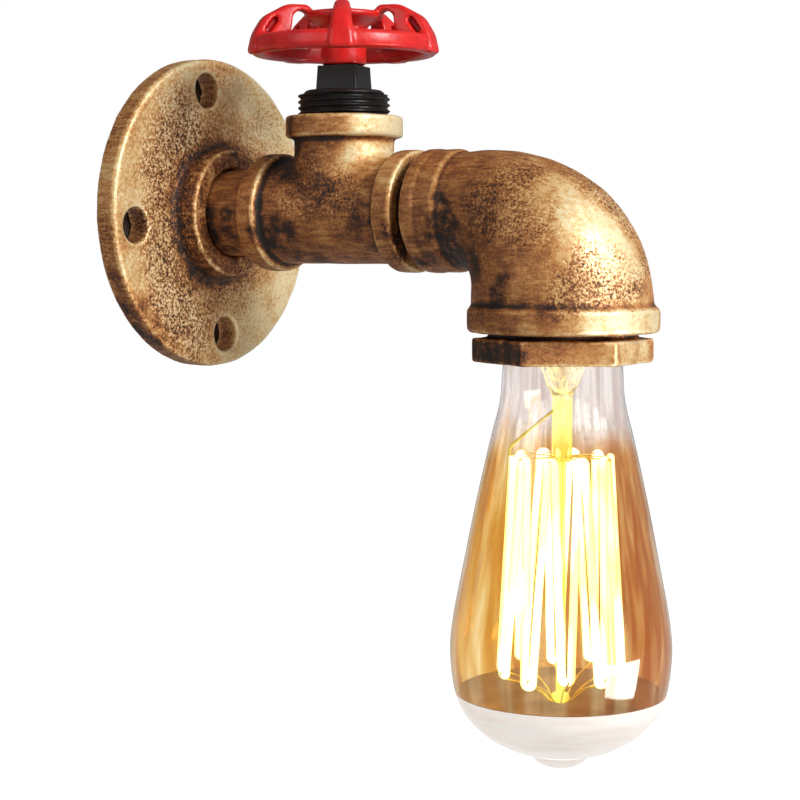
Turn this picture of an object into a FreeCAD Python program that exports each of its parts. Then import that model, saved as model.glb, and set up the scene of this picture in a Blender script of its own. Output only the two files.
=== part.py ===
"""Industrial pipe wall light: cast pipe fittings on a wall flange, with a spare valve
handwheel on the tee and a screw-in filament lamp hanging from the elbow.

Millimetres. The origin is the centre of the flange's back face. The wall is the plane
y = 0, the arm runs out along -Y and +Z is up, so "out" below means distance from the wall.
"""
import FreeCAD, Part
import math
import os

V = FreeCAD.Vector
ORIGIN = V(0, 0, 0)
UP = V(0, 0, 1)

# ---- driving dimensions: places ----
TEE_OUT = 57.5                  # wall to the tee's branch and handwheel axis
LAMP_OUT = 133.8                # wall to the lamp axis

# ---- three-quarter-inch pipe ----
PIPE_R = 13.6
PIPE_BORE_R = 10.5
FITTING_BORE_R = 11.0           # waterway inside the castings, past the sockets
RISER_BORE_R = 10.4             # the tee's branch, a little narrower than its run
SOCKET_DEPTH = 12.0
PIPE_PITCH = 1.814              # fourteen threads to the inch
THREAD_DEPTH = 0.44             # half of crest to root on the pipe threads
CIRCLES_PER_THREAD = 6          # how finely every thread is drawn

# ---- wall flange ----
FLANGE_R = 49.0
FLANGE_THICK = 7.6
HUB_R = 20.1
HUB_OUT = 15.0
BOLT_CIRCLE_R = 39.0
BOLT_HOLE_R = 5.35
BOLT_COUNT = 4
BOLT_PHASE = 6.0                # degrees from +X to the first hole
RECESS_R = 23.0                 # hollow behind the hub, where the house wires come in
RECESS_DEEP = 3.6
FLANGE_NIPPLE_BACK = 4.6
EARTH_Z = -18.4                 # earth screw in the hollow, under the hub
EARTH_THREAD_R = 1.6
EARTH_THREAD_DEEP = 5.0
EARTH_HEAD_R = 2.9
EARTH_HEAD_THICK = 2.0
EARTH_WASHER_R = 3.4
EARTH_WASHER_THICK = 0.8

# ---- tee ----
TEE_HALF = 28.4                 # branch axis to either end
TEE_TOP = 29.2
BAND_R = 18.4
BAND_WIDE = 6.8
BODY_R = 15.9
BRANCH_R = 15.4
BRANCH_BAND_R = 18.0
BRANCH_BLEND = 5.0

# ---- reducing elbow ----
COLLAR_OUT = 89.0
COLLAR_WIDE = 11.9
BEND_R = 30.0                   # centreline of the bend
BEND_RADII = [17.3, 19.3, 22.2, 24.8, 25.9, 26.0]     # at even turns along the bend
BEND_START_WALL = 6.0
BEND_END_WALL = 4.5
MOUTH_R = 27.6
MOUTH_TOP = -27.3
MOUTH_LOW = -34.9

# ---- hexagon bushing under the elbow ----
BUSHING_MALE_R = 22.0
BUSHING_NECK_R = 21.0
BUSHING_TOP = -22.4
HEX_TOP = -36.3
HEX_LOW = -43.4
HEX_CORNER_R = 26.3
HEX_TURN = 2.8                  # degrees from +X to the first corner
BUSHING_BORE_R = 18.5
LEDGE_Z = -24.2                 # the lamp holder is pushed up against this ledge
LEDGE_R = 16.7
RING_TOP = -36.6
RING_LOW = -37.8
GROOVE_R = 19.6
RING_INNER_R = 17.0
RING_GAP = 6.0
RING_EYE_R = 1.7
RING_EYE_HOLE_R = 0.7
RING_EYE_TURN = 17.5            # degrees from the middle of the ring's gap to either eye

# ---- plug and handwheel ----
PLUG_ROOT_Z = 17.4
PLUG_THREAD_TOP = 35.4
PLUG_TOP = 36.8
PLUG_THREAD_R = 13.64
PLUG_HOLLOW_DEEP = 5.0          # the plug's lower end is cored out
PLUG_TAPPING_LOW = 25.4
HEAD_TOP = 44.1
HEAD_SIDE = 13.0
HEAD_TURN = 13.0                # degrees that the square head is turned from the X axis
RIM_LOW = 47.0
RIM_TOP = 53.1
RIM_R = 28.5
RIM_INNER_R = 24.6
WHEEL_ARMS = 5
WHEEL_PHASE = 213.4             # degrees from +X to the first arm
ARM_CREST_WIDE = 4.4            # an arm is wedge-shaped, wider at the rim's lower edge
ARM_FOOT_WIDE = 8.4
ARM_TOP = 62.3
ARM_ROUNDING = 1.4
POCKET_DEPTH = 1.7              # slanting hollow in either side of each arm, at its shallowest
HUB_PLATE_R = 12.0
HUB_PLATE_TOP = 60.4
HUB_PLATE_LOW = 58.6
BOSS_R = 6.9
RUNNING_GAP = 0.3
BUSH_R = 3.6
BUSH_CLEARANCE = 0.08
SCREW_R = 2.5                   # M5
SCREW_HEAD_R = 4.5
SCREW_HEAD_HIGH = 2.7
SCREW_SOCKET_R = 1.75           # to its corners
WASHER_R = 5.2
WASHER_THICK = 1.0
WASHER_LOW = 56.3

# ---- lamp holder, E27 ----
LAMP_PITCH = 3.629              # seven threads to the inch
LAMP_THREAD_DEPTH = 0.55        # half of crest to root
CAP_THREAD_R = 12.6
SHELL_THREAD_R = 12.95
SHEET = 0.4                     # pressed brass
HOLDER_R = 18.2
HOLDER_UPPER_R = 16.3
HOLDER_LOW = -36.5
HOLDER_CAVITY_R = 14.2
HOLDER_FLOOR = -11.5
HOLDER_TOP = -8.5
SHELL_LOW = -34.2
SHELL_THREAD_TOP = -17.0
SHELL_TOP = -15.1
TERMINAL_X = 9.3
TERMINAL_SIDE = 5.0
TERMINAL_HIGH = 4.0
TERMINAL_SIDES = (-1, 1)        # live, then neutral
TERMINAL_SCREW_R = 1.0
NEUTRAL_RIVET_X = 11.5
NEUTRAL_RIVET_R = 0.8
LIVE_RIVET_R = 1.0
TONGUE_WIDE = 4.6
WIRE_ENTRY_Z = HOLDER_TOP + 1.7
WIRE_R = 1.2
WIRE_BEND_R = 12.0
FERRULE_R = 1.0
FERRULE_LONG = 5.6
FERRULE_OUT = 2.0               # how far a ferrule stands out of its terminal

# ---- lamp ----
CAP_RIM = -38.0
CAP_SKIRT_R = 13.2
CAP_THREAD_LOW = -34.6
CAP_THREAD_TOP = -18.4
CAP_CONE_TOP = -16.6
CAP_CONE_R = 9.0
EYELET_LOW = -13.4
EYELET_TOP = -12.5
EYELET_R = 4.9
GLASS_WALL = 0.7
GLASS_NECK_R = 12.75
GLASS_OUTLINE = [               # radius, height: neck, long cone, belly and foot
    (17.0, -43.2), (17.9, -54.2), (20.7, -65.8), (24.6, -83.2), (28.1, -100.7),
    (31.4, -118.3), (32.0, -129.5), (29.8, -141.8), (24.2, -149.6), (15.4, -155.6)]
PIP_SHOULDER = (9.5, -157.0)    # the sealed-off tip under the foot
PIP_SIDE = (6.9, -159.5)
PIP_TIP_Z = -161.3
STEM_TOP = -37.0
STEM_LOW = -72.0
STEM_ROD_R = 1.3
STEM_BUTTON_Z = -141.0
STEM_BUTTON_R = 2.6
CAGE_TOP_Z = -70.0
CAGE_LOW_Z = -136.5
CAGE_TOP_R = 15.2
CAGE_LOW_R = 18.0
CAGE_TURN = 124.0               # degrees from +X to the gap between the filament's ends
HAIRPINS = 10
FILAMENT_R = 0.28
FILAMENT_BEND_R = 0.8
FILAMENT_TURN = 2.0             # between the two legs where the filament goes over a hook
FILAMENT_END_TURN = 5.0         # degrees that its ends stand from +X
HOOK_R = 0.22
HOOK_OVERHANG = 0.8             # past the filament
TOP_HOOK_ROOT_R = 2.3           # in the stem's glass, like the leads
LEAD_R = 0.35
LEAD_ROOT_Z = -57.0
LEAD_KNEE = (9.0, -62.5)        # radius, height
LEAD_DROP = 2.2                 # upright end of a lead, on the end of the filament
LEAD_GAP = 0.02
LEAD_BEND_R = 3.0


# ---------------------------------------------------------------- helpers
def rounded_corner(before, corner, after, radius):
    """Where a rounding leaves both sides of a corner, and the arc between."""
    back = (before - corner).normalize()
    ahead = (after - corner).normalize()
    half = back.getAngle(ahead) / 2
    reach = radius / math.tan(half)
    bisector = (back + ahead).normalize()
    entry = corner + back * reach
    leave = corner + ahead * reach
    middle = corner + bisector * (radius / math.sin(half) - radius)
    return entry, leave, Part.Arc(entry, middle, leave).toShape()


def outline(corners):
    """Closed wire in the XZ plane. A corner is (x, z) or (x, z, rounding radius)."""
    points = [V(c[0], 0, c[1]) for c in corners]
    pieces = []
    for i, corner in enumerate(points):
        radius = corners[i][2] if len(corners[i]) > 2 else 0.0
        after = points[(i + 1) % len(points)]
        if radius > 0:
            pieces.append(rounded_corner(points[i - 1], corner, after, radius))
        else:
            pieces.append((corner, corner, None))
    edges = []
    for i, (entry, leave, arc) in enumerate(pieces):
        next_entry = pieces[(i + 1) % len(pieces)][0]
        if arc:
            edges.append(arc)
        if (next_entry - leave).Length > 1e-6:
            edges.append(Part.LineSegment(leave, next_entry).toShape())
    return Part.Wire(edges)


def turned(corners):
    """Solid of revolution about Z from (radius, height) corners."""
    return Part.Face(outline(corners)).revolve(ORIGIN, UP, 360)


def cylinder(radius, low, high):
    return Part.makeCylinder(radius, high - low, V(0, 0, low))


def tube(outer, inner, low, high):
    return cylinder(outer, low, high).cut(cylinder(inner, low, high))


def along_arm(shape):
    """Turn a shape made about Z so that its height becomes the distance from the wall."""
    shape.rotate(ORIGIN, V(1, 0, 0), 90)
    return shape


def on_axis(shape, out):
    """Carry a shape made about Z to the vertical axis at this distance from the wall."""
    shape.translate(V(0, -out, 0))
    return shape


def round_thread(mean_radius, depth, pitch, low, high):
    """Right-hand screw: level circles whose centres climb a thin helix.

    The phase depends on height alone, so threads of one pitch always mate.
    """
    steps = max(1, round((high - low) / pitch * CIRCLES_PER_THREAD))
    circles = []
    for i in range(steps + 1):
        z = low + (high - low) * i / steps
        circles.append(Part.Wire(Part.makeCircle(mean_radius, polar(depth, 360.0 * z / pitch, z), UP)))
    return Part.makeLoft(circles, True, True)


def smooth_path(points, bend_radius):
    """Wire of straight runs joined by tangent arcs of one radius."""
    edges = []
    here = points[0]
    for i in range(1, len(points) - 1):
        entry, leave, arc = rounded_corner(points[i - 1], points[i], points[i + 1], bend_radius)
        if (entry - here).Length > 1e-6:
            edges.append(Part.LineSegment(here, entry).toShape())
        edges.append(arc)
        here = leave
    edges.append(Part.LineSegment(here, points[-1]).toShape())
    return Part.Wire(edges)


def wire_along(points, radius, bend_radius):
    """Round wire of this radius along a path."""
    path = smooth_path(points, bend_radius)
    section = Part.Wire(Part.makeCircle(radius, points[0], points[1] - points[0]))
    return path.makePipe(Part.Face(section))


def fused(shapes):
    return shapes[0].multiFuse(shapes[1:]).removeSplitter()


def polar(radius, degrees, z):
    turn = math.radians(degrees)
    return V(radius * math.cos(turn), radius * math.sin(turn), z)


# ---------------------------------------------------------------- wall flange
def wall_flange():
    body = turned([
        (PIPE_R, RECESS_DEEP), (RECESS_R, RECESS_DEEP), (RECESS_R, 0), (FLANGE_R, 0, 0.8),
        (FLANGE_R, FLANGE_THICK, 1.6), (HUB_R + 0.8, FLANGE_THICK, 2.4), (HUB_R, HUB_OUT, 1.0),
        (PIPE_R + 1.0, HUB_OUT), (PIPE_R, HUB_OUT - 1.0)])
    for i in range(BOLT_COUNT):
        hole = turned([
            (0, -1), (BOLT_HOLE_R, -1), (BOLT_HOLE_R, FLANGE_THICK - 0.7),
            (BOLT_HOLE_R + 0.7, FLANGE_THICK), (BOLT_HOLE_R + 0.7, FLANGE_THICK + 1),
            (0, FLANGE_THICK + 1)])
        spot = polar(BOLT_CIRCLE_R, BOLT_PHASE + 360.0 * i / BOLT_COUNT, 0)
        hole.translate(spot)
        body = body.cut(hole)
    along_arm(body)
    return body.cut(earth_hole())


def at_earth(shape):
    """Carry a shape made about Z to the earth screw's place behind the hub."""
    along_arm(shape)
    shape.translate(V(0, 0, EARTH_Z))
    return shape


def earth_hole():
    return at_earth(cylinder(EARTH_THREAD_R, RECESS_DEEP - 0.1, RECESS_DEEP + EARTH_THREAD_DEEP))


def earth_washer():
    return at_earth(tube(EARTH_WASHER_R, EARTH_THREAD_R, RECESS_DEEP - EARTH_WASHER_THICK, RECESS_DEEP))


def earth_screw():
    head_front = RECESS_DEEP - EARTH_WASHER_THICK
    head_back = head_front - EARTH_HEAD_THICK
    tip = RECESS_DEEP + EARTH_THREAD_DEEP - 0.4
    screw = turned([(0, head_back), (EARTH_HEAD_R, head_back, 0.5), (EARTH_HEAD_R, head_front),
                    (EARTH_THREAD_R, head_front), (EARTH_THREAD_R, tip), (0, tip)])
    slot = Part.makeBox(2 * EARTH_HEAD_R + 1, 0.9, 0.9, V(-EARTH_HEAD_R - 0.5, -0.45, head_back - 0.1))
    return at_earth(screw.cut(slot))


# ---------------------------------------------------------------- pipe run
def flange_nipple():
    tee_end = TEE_OUT - TEE_HALF + SOCKET_DEPTH
    return along_arm(tube(PIPE_R, PIPE_BORE_R, FLANGE_NIPPLE_BACK, tee_end))


def band(radius, root, low, high):
    """Rounded reinforcing band of a casting, as a ring on its body."""
    return turned([(root - 3, low), (radius, low, 1.0), (radius, high, 1.0), (root - 3, high)])


def pipe_tee():
    near = TEE_OUT - TEE_HALF
    far = TEE_OUT + TEE_HALF
    run = along_arm(cylinder(BODY_R, near + 0.5, far - 0.5))
    branch = on_axis(cylinder(BRANCH_R, 0, TEE_TOP - 0.5), TEE_OUT)
    body = run.fuse(branch).removeSplitter()
    saddle = [e for e in body.Edges
              if 1 < e.BoundBox.ZMax < TEE_TOP - 6 and e.BoundBox.YLength < 2 * BRANCH_R + 1
              and e.BoundBox.YMax < -near - 5 and e.BoundBox.YMin > -far + 5]
    body = body.makeFillet(BRANCH_BLEND, saddle)
    near_band = along_arm(band(BAND_R, BODY_R, near, near + BAND_WIDE))
    far_band = along_arm(band(BAND_R, BODY_R, far - BAND_WIDE, far))
    top_band = on_axis(band(BRANCH_BAND_R, BRANCH_R, TEE_TOP - BAND_WIDE, TEE_TOP), TEE_OUT)
    body = fused([body, near_band, far_band, top_band])
    waterway = along_arm(cylinder(FITTING_BORE_R, near - 1, far + 1))
    near_socket = along_arm(cylinder(PIPE_R, near - 1, near + SOCKET_DEPTH))
    far_socket = along_arm(cylinder(PIPE_R, far - SOCKET_DEPTH, far + 1))
    riser = on_axis(cylinder(RISER_BORE_R, 0, TEE_TOP), TEE_OUT)
    top_socket = on_axis(cylinder(PIPE_R, TEE_TOP - SOCKET_DEPTH, TEE_TOP + 1), TEE_OUT)
    return body.cut([waterway, near_socket, far_socket, riser, top_socket])


def arm_nipple():
    tee_end = TEE_OUT + TEE_HALF
    inside_tee = cylinder(PIPE_R, tee_end - SOCKET_DEPTH, tee_end)
    shown = round_thread(PIPE_R - THREAD_DEPTH - 0.1, THREAD_DEPTH, PIPE_PITCH, tee_end, COLLAR_OUT)
    inside_elbow = cylinder(PIPE_R, COLLAR_OUT, COLLAR_OUT + SOCKET_DEPTH)
    bar = inside_tee.fuse([shown, inside_elbow])
    bore = cylinder(PIPE_BORE_R, tee_end - SOCKET_DEPTH - 1, COLLAR_OUT + SOCKET_DEPTH + 1)
    return along_arm(bar.cut(bore))


# ---------------------------------------------------------------- reducing elbow
def growing_bend(start_wall, end_wall):
    """Quarter bend through circles of BEND_RADII square to it, each less a wall."""
    sections = []
    for i, outside_r in enumerate(BEND_RADII):
        share = i / (len(BEND_RADII) - 1)
        turn = math.pi / 2 * share
        wall = start_wall + (end_wall - start_wall) * share
        section = Part.Wire(Part.makeCircle(outside_r - wall, ORIGIN, UP))
        section.rotate(ORIGIN, V(1, 0, 0), 90 + 90 * share)
        out = LAMP_OUT - BEND_R + BEND_R * math.sin(turn)
        section.translate(V(0, -out, -BEND_R + BEND_R * math.cos(turn)))
        sections.append(section)
    return Part.makeLoft(sections, True)


def reducing_elbow():
    bend_out = LAMP_OUT - BEND_R
    collar_end = COLLAR_OUT + COLLAR_WIDE
    collar = along_arm(turned([
        (0, COLLAR_OUT), (BAND_R, COLLAR_OUT, 1.2), (BAND_R, COLLAR_OUT + 4.2, 3.0),
        (BAND_R - 0.35, COLLAR_OUT + 4.8, 3.0), (BAND_R - 0.1, collar_end, 1.3),
        (0, collar_end)]))
    throat = along_arm(cylinder(BEND_RADII[0], collar_end - 2, bend_out))
    bend = growing_bend(0.0, 0.0)
    mouth = on_axis(turned([
        (0, MOUTH_TOP), (MOUTH_R, MOUTH_TOP, 1.7), (MOUTH_R, MOUTH_LOW, 1.5),
        (0, MOUTH_LOW)]), LAMP_OUT)
    body = fused([collar, throat, bend, mouth])
    socket = along_arm(cylinder(PIPE_R, COLLAR_OUT - 1, COLLAR_OUT + SOCKET_DEPTH))
    throat_bore = along_arm(cylinder(FITTING_BORE_R, COLLAR_OUT, bend_out))
    bend_bore = growing_bend(BEND_START_WALL, BEND_END_WALL)
    mouth_socket = on_axis(cylinder(BUSHING_MALE_R, MOUTH_LOW - 1, BUSHING_TOP), LAMP_OUT)
    return body.cut([socket, throat_bore, bend_bore, mouth_socket])


def hex_bushing():
    corners = [polar(HEX_CORNER_R, HEX_TURN + 60 * i, HEX_LOW) for i in range(7)]
    prism = Part.Face(Part.makePolygon(corners)).extrude(V(0, 0, HEX_TOP - HEX_LOW))
    worn = turned([(0, HEX_LOW), (HEX_CORNER_R + 0.2, HEX_LOW, 1.4),
                   (HEX_CORNER_R + 0.2, HEX_TOP, 1.0), (0, HEX_TOP)])
    nut = prism.common(worn)
    barrel = turned([(0, HEX_TOP - 1), (BUSHING_NECK_R, HEX_TOP - 1), (BUSHING_NECK_R, MOUTH_LOW),
                     (BUSHING_MALE_R, MOUTH_LOW), (BUSHING_MALE_R, BUSHING_TOP),
                     (0, BUSHING_TOP)])
    body = fused([nut, barrel])
    bore = turned([(0, HEX_LOW - 1), (BUSHING_BORE_R + 0.8, HEX_LOW - 1),
                   (BUSHING_BORE_R + 0.8, HEX_LOW), (BUSHING_BORE_R, HEX_LOW + 0.8),
                   (BUSHING_BORE_R, RING_LOW), (GROOVE_R, RING_LOW), (GROOVE_R, RING_TOP),
                   (BUSHING_BORE_R, RING_TOP), (BUSHING_BORE_R, LEDGE_Z), (LEDGE_R, LEDGE_Z),
                   (LEDGE_R, BUSHING_TOP + 1), (0, BUSHING_TOP + 1)])
    return on_axis(body.cut(bore), LAMP_OUT)


# ---------------------------------------------------------------- plug and handwheel
def threaded_plug():
    inside = cylinder(PIPE_R, PLUG_ROOT_Z, TEE_TOP)
    shown = round_thread(PLUG_THREAD_R, THREAD_DEPTH, PIPE_PITCH, TEE_TOP, PLUG_THREAD_TOP)
    crown = turned([(0, PLUG_THREAD_TOP), (PIPE_R - 0.4, PLUG_THREAD_TOP, 0.5),
                    (PIPE_R - 2.2, PLUG_TOP, 0.8), (0, PLUG_TOP)])
    foot = square_section(HEAD_SIDE + 0.5, PLUG_TOP - 0.5)
    top = square_section(HEAD_SIDE - 0.4, HEAD_TOP)
    head = Part.makeLoft([foot, top], True, True)
    head = head.makeFillet(0.8, [e for e in head.Edges if e.BoundBox.ZLength > 3])
    body = inside.fuse([shown, crown, head])
    tapped = cylinder(SCREW_R, PLUG_TAPPING_LOW, HEAD_TOP + 1)
    hollow = cylinder(PIPE_BORE_R, PLUG_ROOT_Z - 1, PLUG_ROOT_Z + PLUG_HOLLOW_DEEP)
    return on_axis(body.cut([tapped, hollow]), TEE_OUT)


def square_section(side, z):
    reach = side / math.sqrt(2)
    return Part.makePolygon([polar(reach, HEAD_TURN + 45 + 90 * i, z) for i in range(5)])


def wheel_arm():
    """One arm in the XZ plane: a thin arch off the hub, then a deep web down to the rim."""
    profile = outline([
        (9.0, HUB_PLATE_LOW), (10.0, HUB_PLATE_TOP), (11.4, ARM_TOP, 2.0), (18.0, ARM_TOP, 7.0),
        (25.6, 58.2, 6.0), (28.6, 53.0, 6.0), (29.8, RIM_LOW + 0.1, 1.0), (25.0, RIM_LOW + 0.1),
        (24.8, 52.2), (17.2, 53.4, 1.2), (16.4, 59.0, 1.6), (14.2, 60.6, 1.2), (11.6, 59.8)])
    face = Part.Face(profile)
    face.translate(V(0, -ARM_FOOT_WIDE, 0))
    slab = face.extrude(V(0, 2 * ARM_FOOT_WIDE, 0))
    crest_half = ARM_CREST_WIDE / 2
    foot_half = ARM_FOOT_WIDE / 2
    wedge = Part.Face(Part.makePolygon([
        V(0, -crest_half, ARM_TOP), V(0, crest_half, ARM_TOP), V(0, foot_half, RIM_LOW),
        V(0, -foot_half, RIM_LOW), V(0, -crest_half, ARM_TOP)]))
    arm = slab.common(wedge.extrude(V(RIM_R + 5, 0, 0)))
    flank = [e for e in arm.Edges if e.BoundBox.YLength < ARM_FOOT_WIDE / 2]
    crest = [e for e in flank if e.BoundBox.ZMin > 60.8
             or (e.BoundBox.XMax > 25.1 and e.BoundBox.ZMin > RIM_LOW + 0.5)]
    arm = arm.makeFillet(ARM_ROUNDING, crest)
    pocket = Part.Face(outline([
        (20.6, 57.6, 0.9), (24.1, 52.8, 0.9), (25.6, 53.9, 0.9), (22.1, 58.7, 0.9)]))
    inner = ARM_CREST_WIDE / 2 + 0.3 - POCKET_DEPTH
    for side in (-1, 1):
        cutter = pocket.extrude(V(0, side * ARM_FOOT_WIDE, 0))
        cutter.translate(V(0, side * inner, 0))
        arm = arm.cut(cutter)
    return arm


def handwheel():
    rim = turned([(RIM_INNER_R, RIM_LOW + 0.4, 1.2), (RIM_R, RIM_LOW, 1.6),
                  (RIM_R - 0.5, RIM_TOP, 1.6), (RIM_INNER_R, RIM_TOP - 0.6, 1.2)])
    hub = turned([(0, HEAD_TOP + RUNNING_GAP), (BOSS_R, HEAD_TOP + RUNNING_GAP, 0.8),
                  (BOSS_R, HUB_PLATE_LOW - 2.6, 2.0), (HUB_PLATE_R, HUB_PLATE_LOW, 0.7),
                  (HUB_PLATE_R, HUB_PLATE_TOP, 0.7), (0, HUB_PLATE_TOP)])
    shapes = [rim, hub]
    for i in range(WHEEL_ARMS):
        arm = wheel_arm()
        arm.rotate(ORIGIN, UP, WHEEL_PHASE + 360.0 * i / WHEEL_ARMS)
        shapes.append(arm)
    body = fused(shapes)
    bore = cylinder(BUSH_R + BUSH_CLEARANCE, HEAD_TOP, HUB_PLATE_TOP + 1)
    recess = turned([(0, WASHER_LOW - RUNNING_GAP), (WASHER_R + 0.5, WASHER_LOW - RUNNING_GAP),
                     (WASHER_R + 0.9, HUB_PLATE_TOP + 1), (0, HUB_PLATE_TOP + 1)])
    return on_axis(body.cut([bore, recess]), TEE_OUT)


def handwheel_bush():
    return on_axis(tube(BUSH_R, SCREW_R, HEAD_TOP, WASHER_LOW), TEE_OUT)


def handwheel_washer():
    return on_axis(tube(WASHER_R, SCREW_R, WASHER_LOW, WASHER_LOW + WASHER_THICK), TEE_OUT)


def handwheel_screw():
    head_low = WASHER_LOW + WASHER_THICK
    head_top = head_low + SCREW_HEAD_HIGH
    body = turned([(0, PLUG_TAPPING_LOW + 2), (SCREW_R, PLUG_TAPPING_LOW + 2), (SCREW_R, head_low),
                   (SCREW_HEAD_R, head_low), (SCREW_HEAD_R, head_top, 1.6), (0, head_top)])
    corners = [polar(SCREW_SOCKET_R, 60 * i, head_low + 1.0) for i in range(7)]
    socket = Part.Face(Part.makePolygon(corners)).extrude(V(0, 0, SCREW_HEAD_HIGH))
    return on_axis(body.cut(socket), TEE_OUT)


# ---------------------------------------------------------------- lamp holder
def holder_body():
    body = turned([
        (HOLDER_CAVITY_R, HOLDER_LOW, 0.6), (HOLDER_R, HOLDER_LOW, 0.8), (HOLDER_R, LEDGE_Z),
        (HOLDER_UPPER_R, LEDGE_Z), (HOLDER_UPPER_R, SHELL_TOP), (12.6, HOLDER_TOP, 0.6),
        (0, HOLDER_TOP), (0, HOLDER_FLOOR), (10.6, HOLDER_FLOOR), (10.6, SHELL_TOP),
        (HOLDER_CAVITY_R, SHELL_TOP)])
    live_rivet = cylinder(LIVE_RIVET_R, HOLDER_FLOOR - 1, HOLDER_TOP + 1)
    live_rivet.translate(V(-TERMINAL_X, 0, 0))
    neutral_rivet = cylinder(NEUTRAL_RIVET_R, SHELL_TOP - 1, HOLDER_TOP + 1)
    neutral_rivet.translate(V(NEUTRAL_RIVET_X, 0, 0))
    return on_axis(body.cut([live_rivet, neutral_rivet]), LAMP_OUT)


def holder_screw_shell():
    """Pressed screw shell, its end plate and the tab that carries it to a terminal."""
    outside = round_thread(SHELL_THREAD_R + SHEET, LAMP_THREAD_DEPTH, LAMP_PITCH,
                           SHELL_LOW, SHELL_THREAD_TOP)
    inside = round_thread(SHELL_THREAD_R, LAMP_THREAD_DEPTH, LAMP_PITCH,
                          SHELL_LOW, SHELL_THREAD_TOP)
    threaded = outside.cut(inside)
    rim_r = SHELL_THREAD_R + SHEET
    crown = turned([
        (CAP_CONE_R + 0.4, SHELL_TOP), (CAP_CONE_R + 0.4, SHELL_TOP - SHEET),
        (rim_r - 2 * SHEET, SHELL_TOP - SHEET), (rim_r - 2 * SHEET, SHELL_THREAD_TOP + SHEET),
        (rim_r - 2 * SHEET, SHELL_THREAD_TOP), (rim_r + 0.2, SHELL_THREAD_TOP),
        (rim_r + 0.2, SHELL_TOP)])
    tab = cylinder(NEUTRAL_RIVET_R, SHELL_TOP - SHEET, HOLDER_TOP)
    tab.translate(V(NEUTRAL_RIVET_X, 0, 0))
    return on_axis(fused([threaded, crown, tab]), LAMP_OUT)


def holder_centre_contact():
    """Sprung tongue over the lamp's tip, with the rivet that carries it to a terminal."""
    tongue_z = EYELET_TOP + 0.15
    strip = outline([
        (-TERMINAL_X - 1.0, HOLDER_FLOOR), (-TERMINAL_X - 1.0, HOLDER_FLOOR - SHEET),
        (-4.5, HOLDER_FLOOR - SHEET), (-3.0, tongue_z), (3.2, tongue_z),
        (3.2, tongue_z + SHEET), (-2.8, tongue_z + SHEET), (-4.2, HOLDER_FLOOR)])
    tongue = Part.Face(strip).extrude(V(0, TONGUE_WIDE, 0))
    tongue.translate(V(0, -TONGUE_WIDE / 2, 0))
    rivet = cylinder(LIVE_RIVET_R, HOLDER_FLOOR - SHEET, HOLDER_TOP)
    rivet.translate(V(-TERMINAL_X, 0, 0))
    return on_axis(fused([tongue, rivet]), LAMP_OUT)


def holder_terminals():
    """Two brass blocks, each with a wire hole from the wall side and a screw hole on top."""
    blocks = []
    for side in TERMINAL_SIDES:
        half = TERMINAL_SIDE / 2
        block = Part.makeBox(TERMINAL_SIDE, TERMINAL_SIDE, TERMINAL_HIGH,
                             V(side * TERMINAL_X - half, -half, HOLDER_TOP))
        wire_hole = Part.makeCylinder(FERRULE_R, TERMINAL_SIDE - 1,
                                      V(side * TERMINAL_X, half, WIRE_ENTRY_Z), V(0, -1, 0))
        screw_hole = cylinder(TERMINAL_SCREW_R, WIRE_ENTRY_Z, WIRE_ENTRY_Z + TERMINAL_HIGH)
        screw_hole.translate(V(side * TERMINAL_X, 0, 0))
        blocks.append(block.cut([wire_hole, screw_hole]))
    return on_axis(Part.makeCompound(blocks), LAMP_OUT)


def holder_terminal_screws():
    screws = []
    top = HOLDER_TOP + TERMINAL_HIGH
    for side in TERMINAL_SIDES:
        tip = WIRE_ENTRY_Z + FERRULE_R
        screw = turned([(0, tip), (TERMINAL_SCREW_R, tip), (TERMINAL_SCREW_R, top),
                        (2.1, top), (2.1, top + 1.4, 0.3), (0, top + 1.4)])
        screw = screw.cut(Part.makeBox(5, 0.6, 0.7, V(-2.5, -0.3, top + 0.8)))
        screw.translate(V(side * TERMINAL_X, 0, 0))
        screws.append(screw)
    return on_axis(Part.makeCompound(screws), LAMP_OUT)


def wire_ferrules():
    sleeves = []
    for side in TERMINAL_SIDES:
        wall_end = TERMINAL_SIDE / 2 + FERRULE_OUT
        start = V(side * TERMINAL_X, wall_end - FERRULE_LONG, WIRE_ENTRY_Z)
        sleeves.append(Part.makeCylinder(FERRULE_R, FERRULE_LONG, start, V(0, 1, 0)))
    return on_axis(Part.makeCompound(sleeves), LAMP_OUT)


def supply_wire(side):
    """Insulated wire from a terminal, round the bend and back through the arm to the wall."""
    start_y = -LAMP_OUT + TERMINAL_SIDE / 2 + FERRULE_OUT
    points = [
        V(side * TERMINAL_X, start_y, WIRE_ENTRY_Z), V(side * TERMINAL_X, -118.0, WIRE_ENTRY_Z),
        V(side * 6.0, -103.0, -2.5), V(side * 4.5, -78.0, -1.5 + side),
        V(side * 4.0, -45.0, side * -1.5), V(side * 4.2, -18.0, side * 1.0),
        V(side * 4.2, -0.4, side * 0.6)]
    return wire_along(points, WIRE_R, WIRE_BEND_R)


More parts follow.
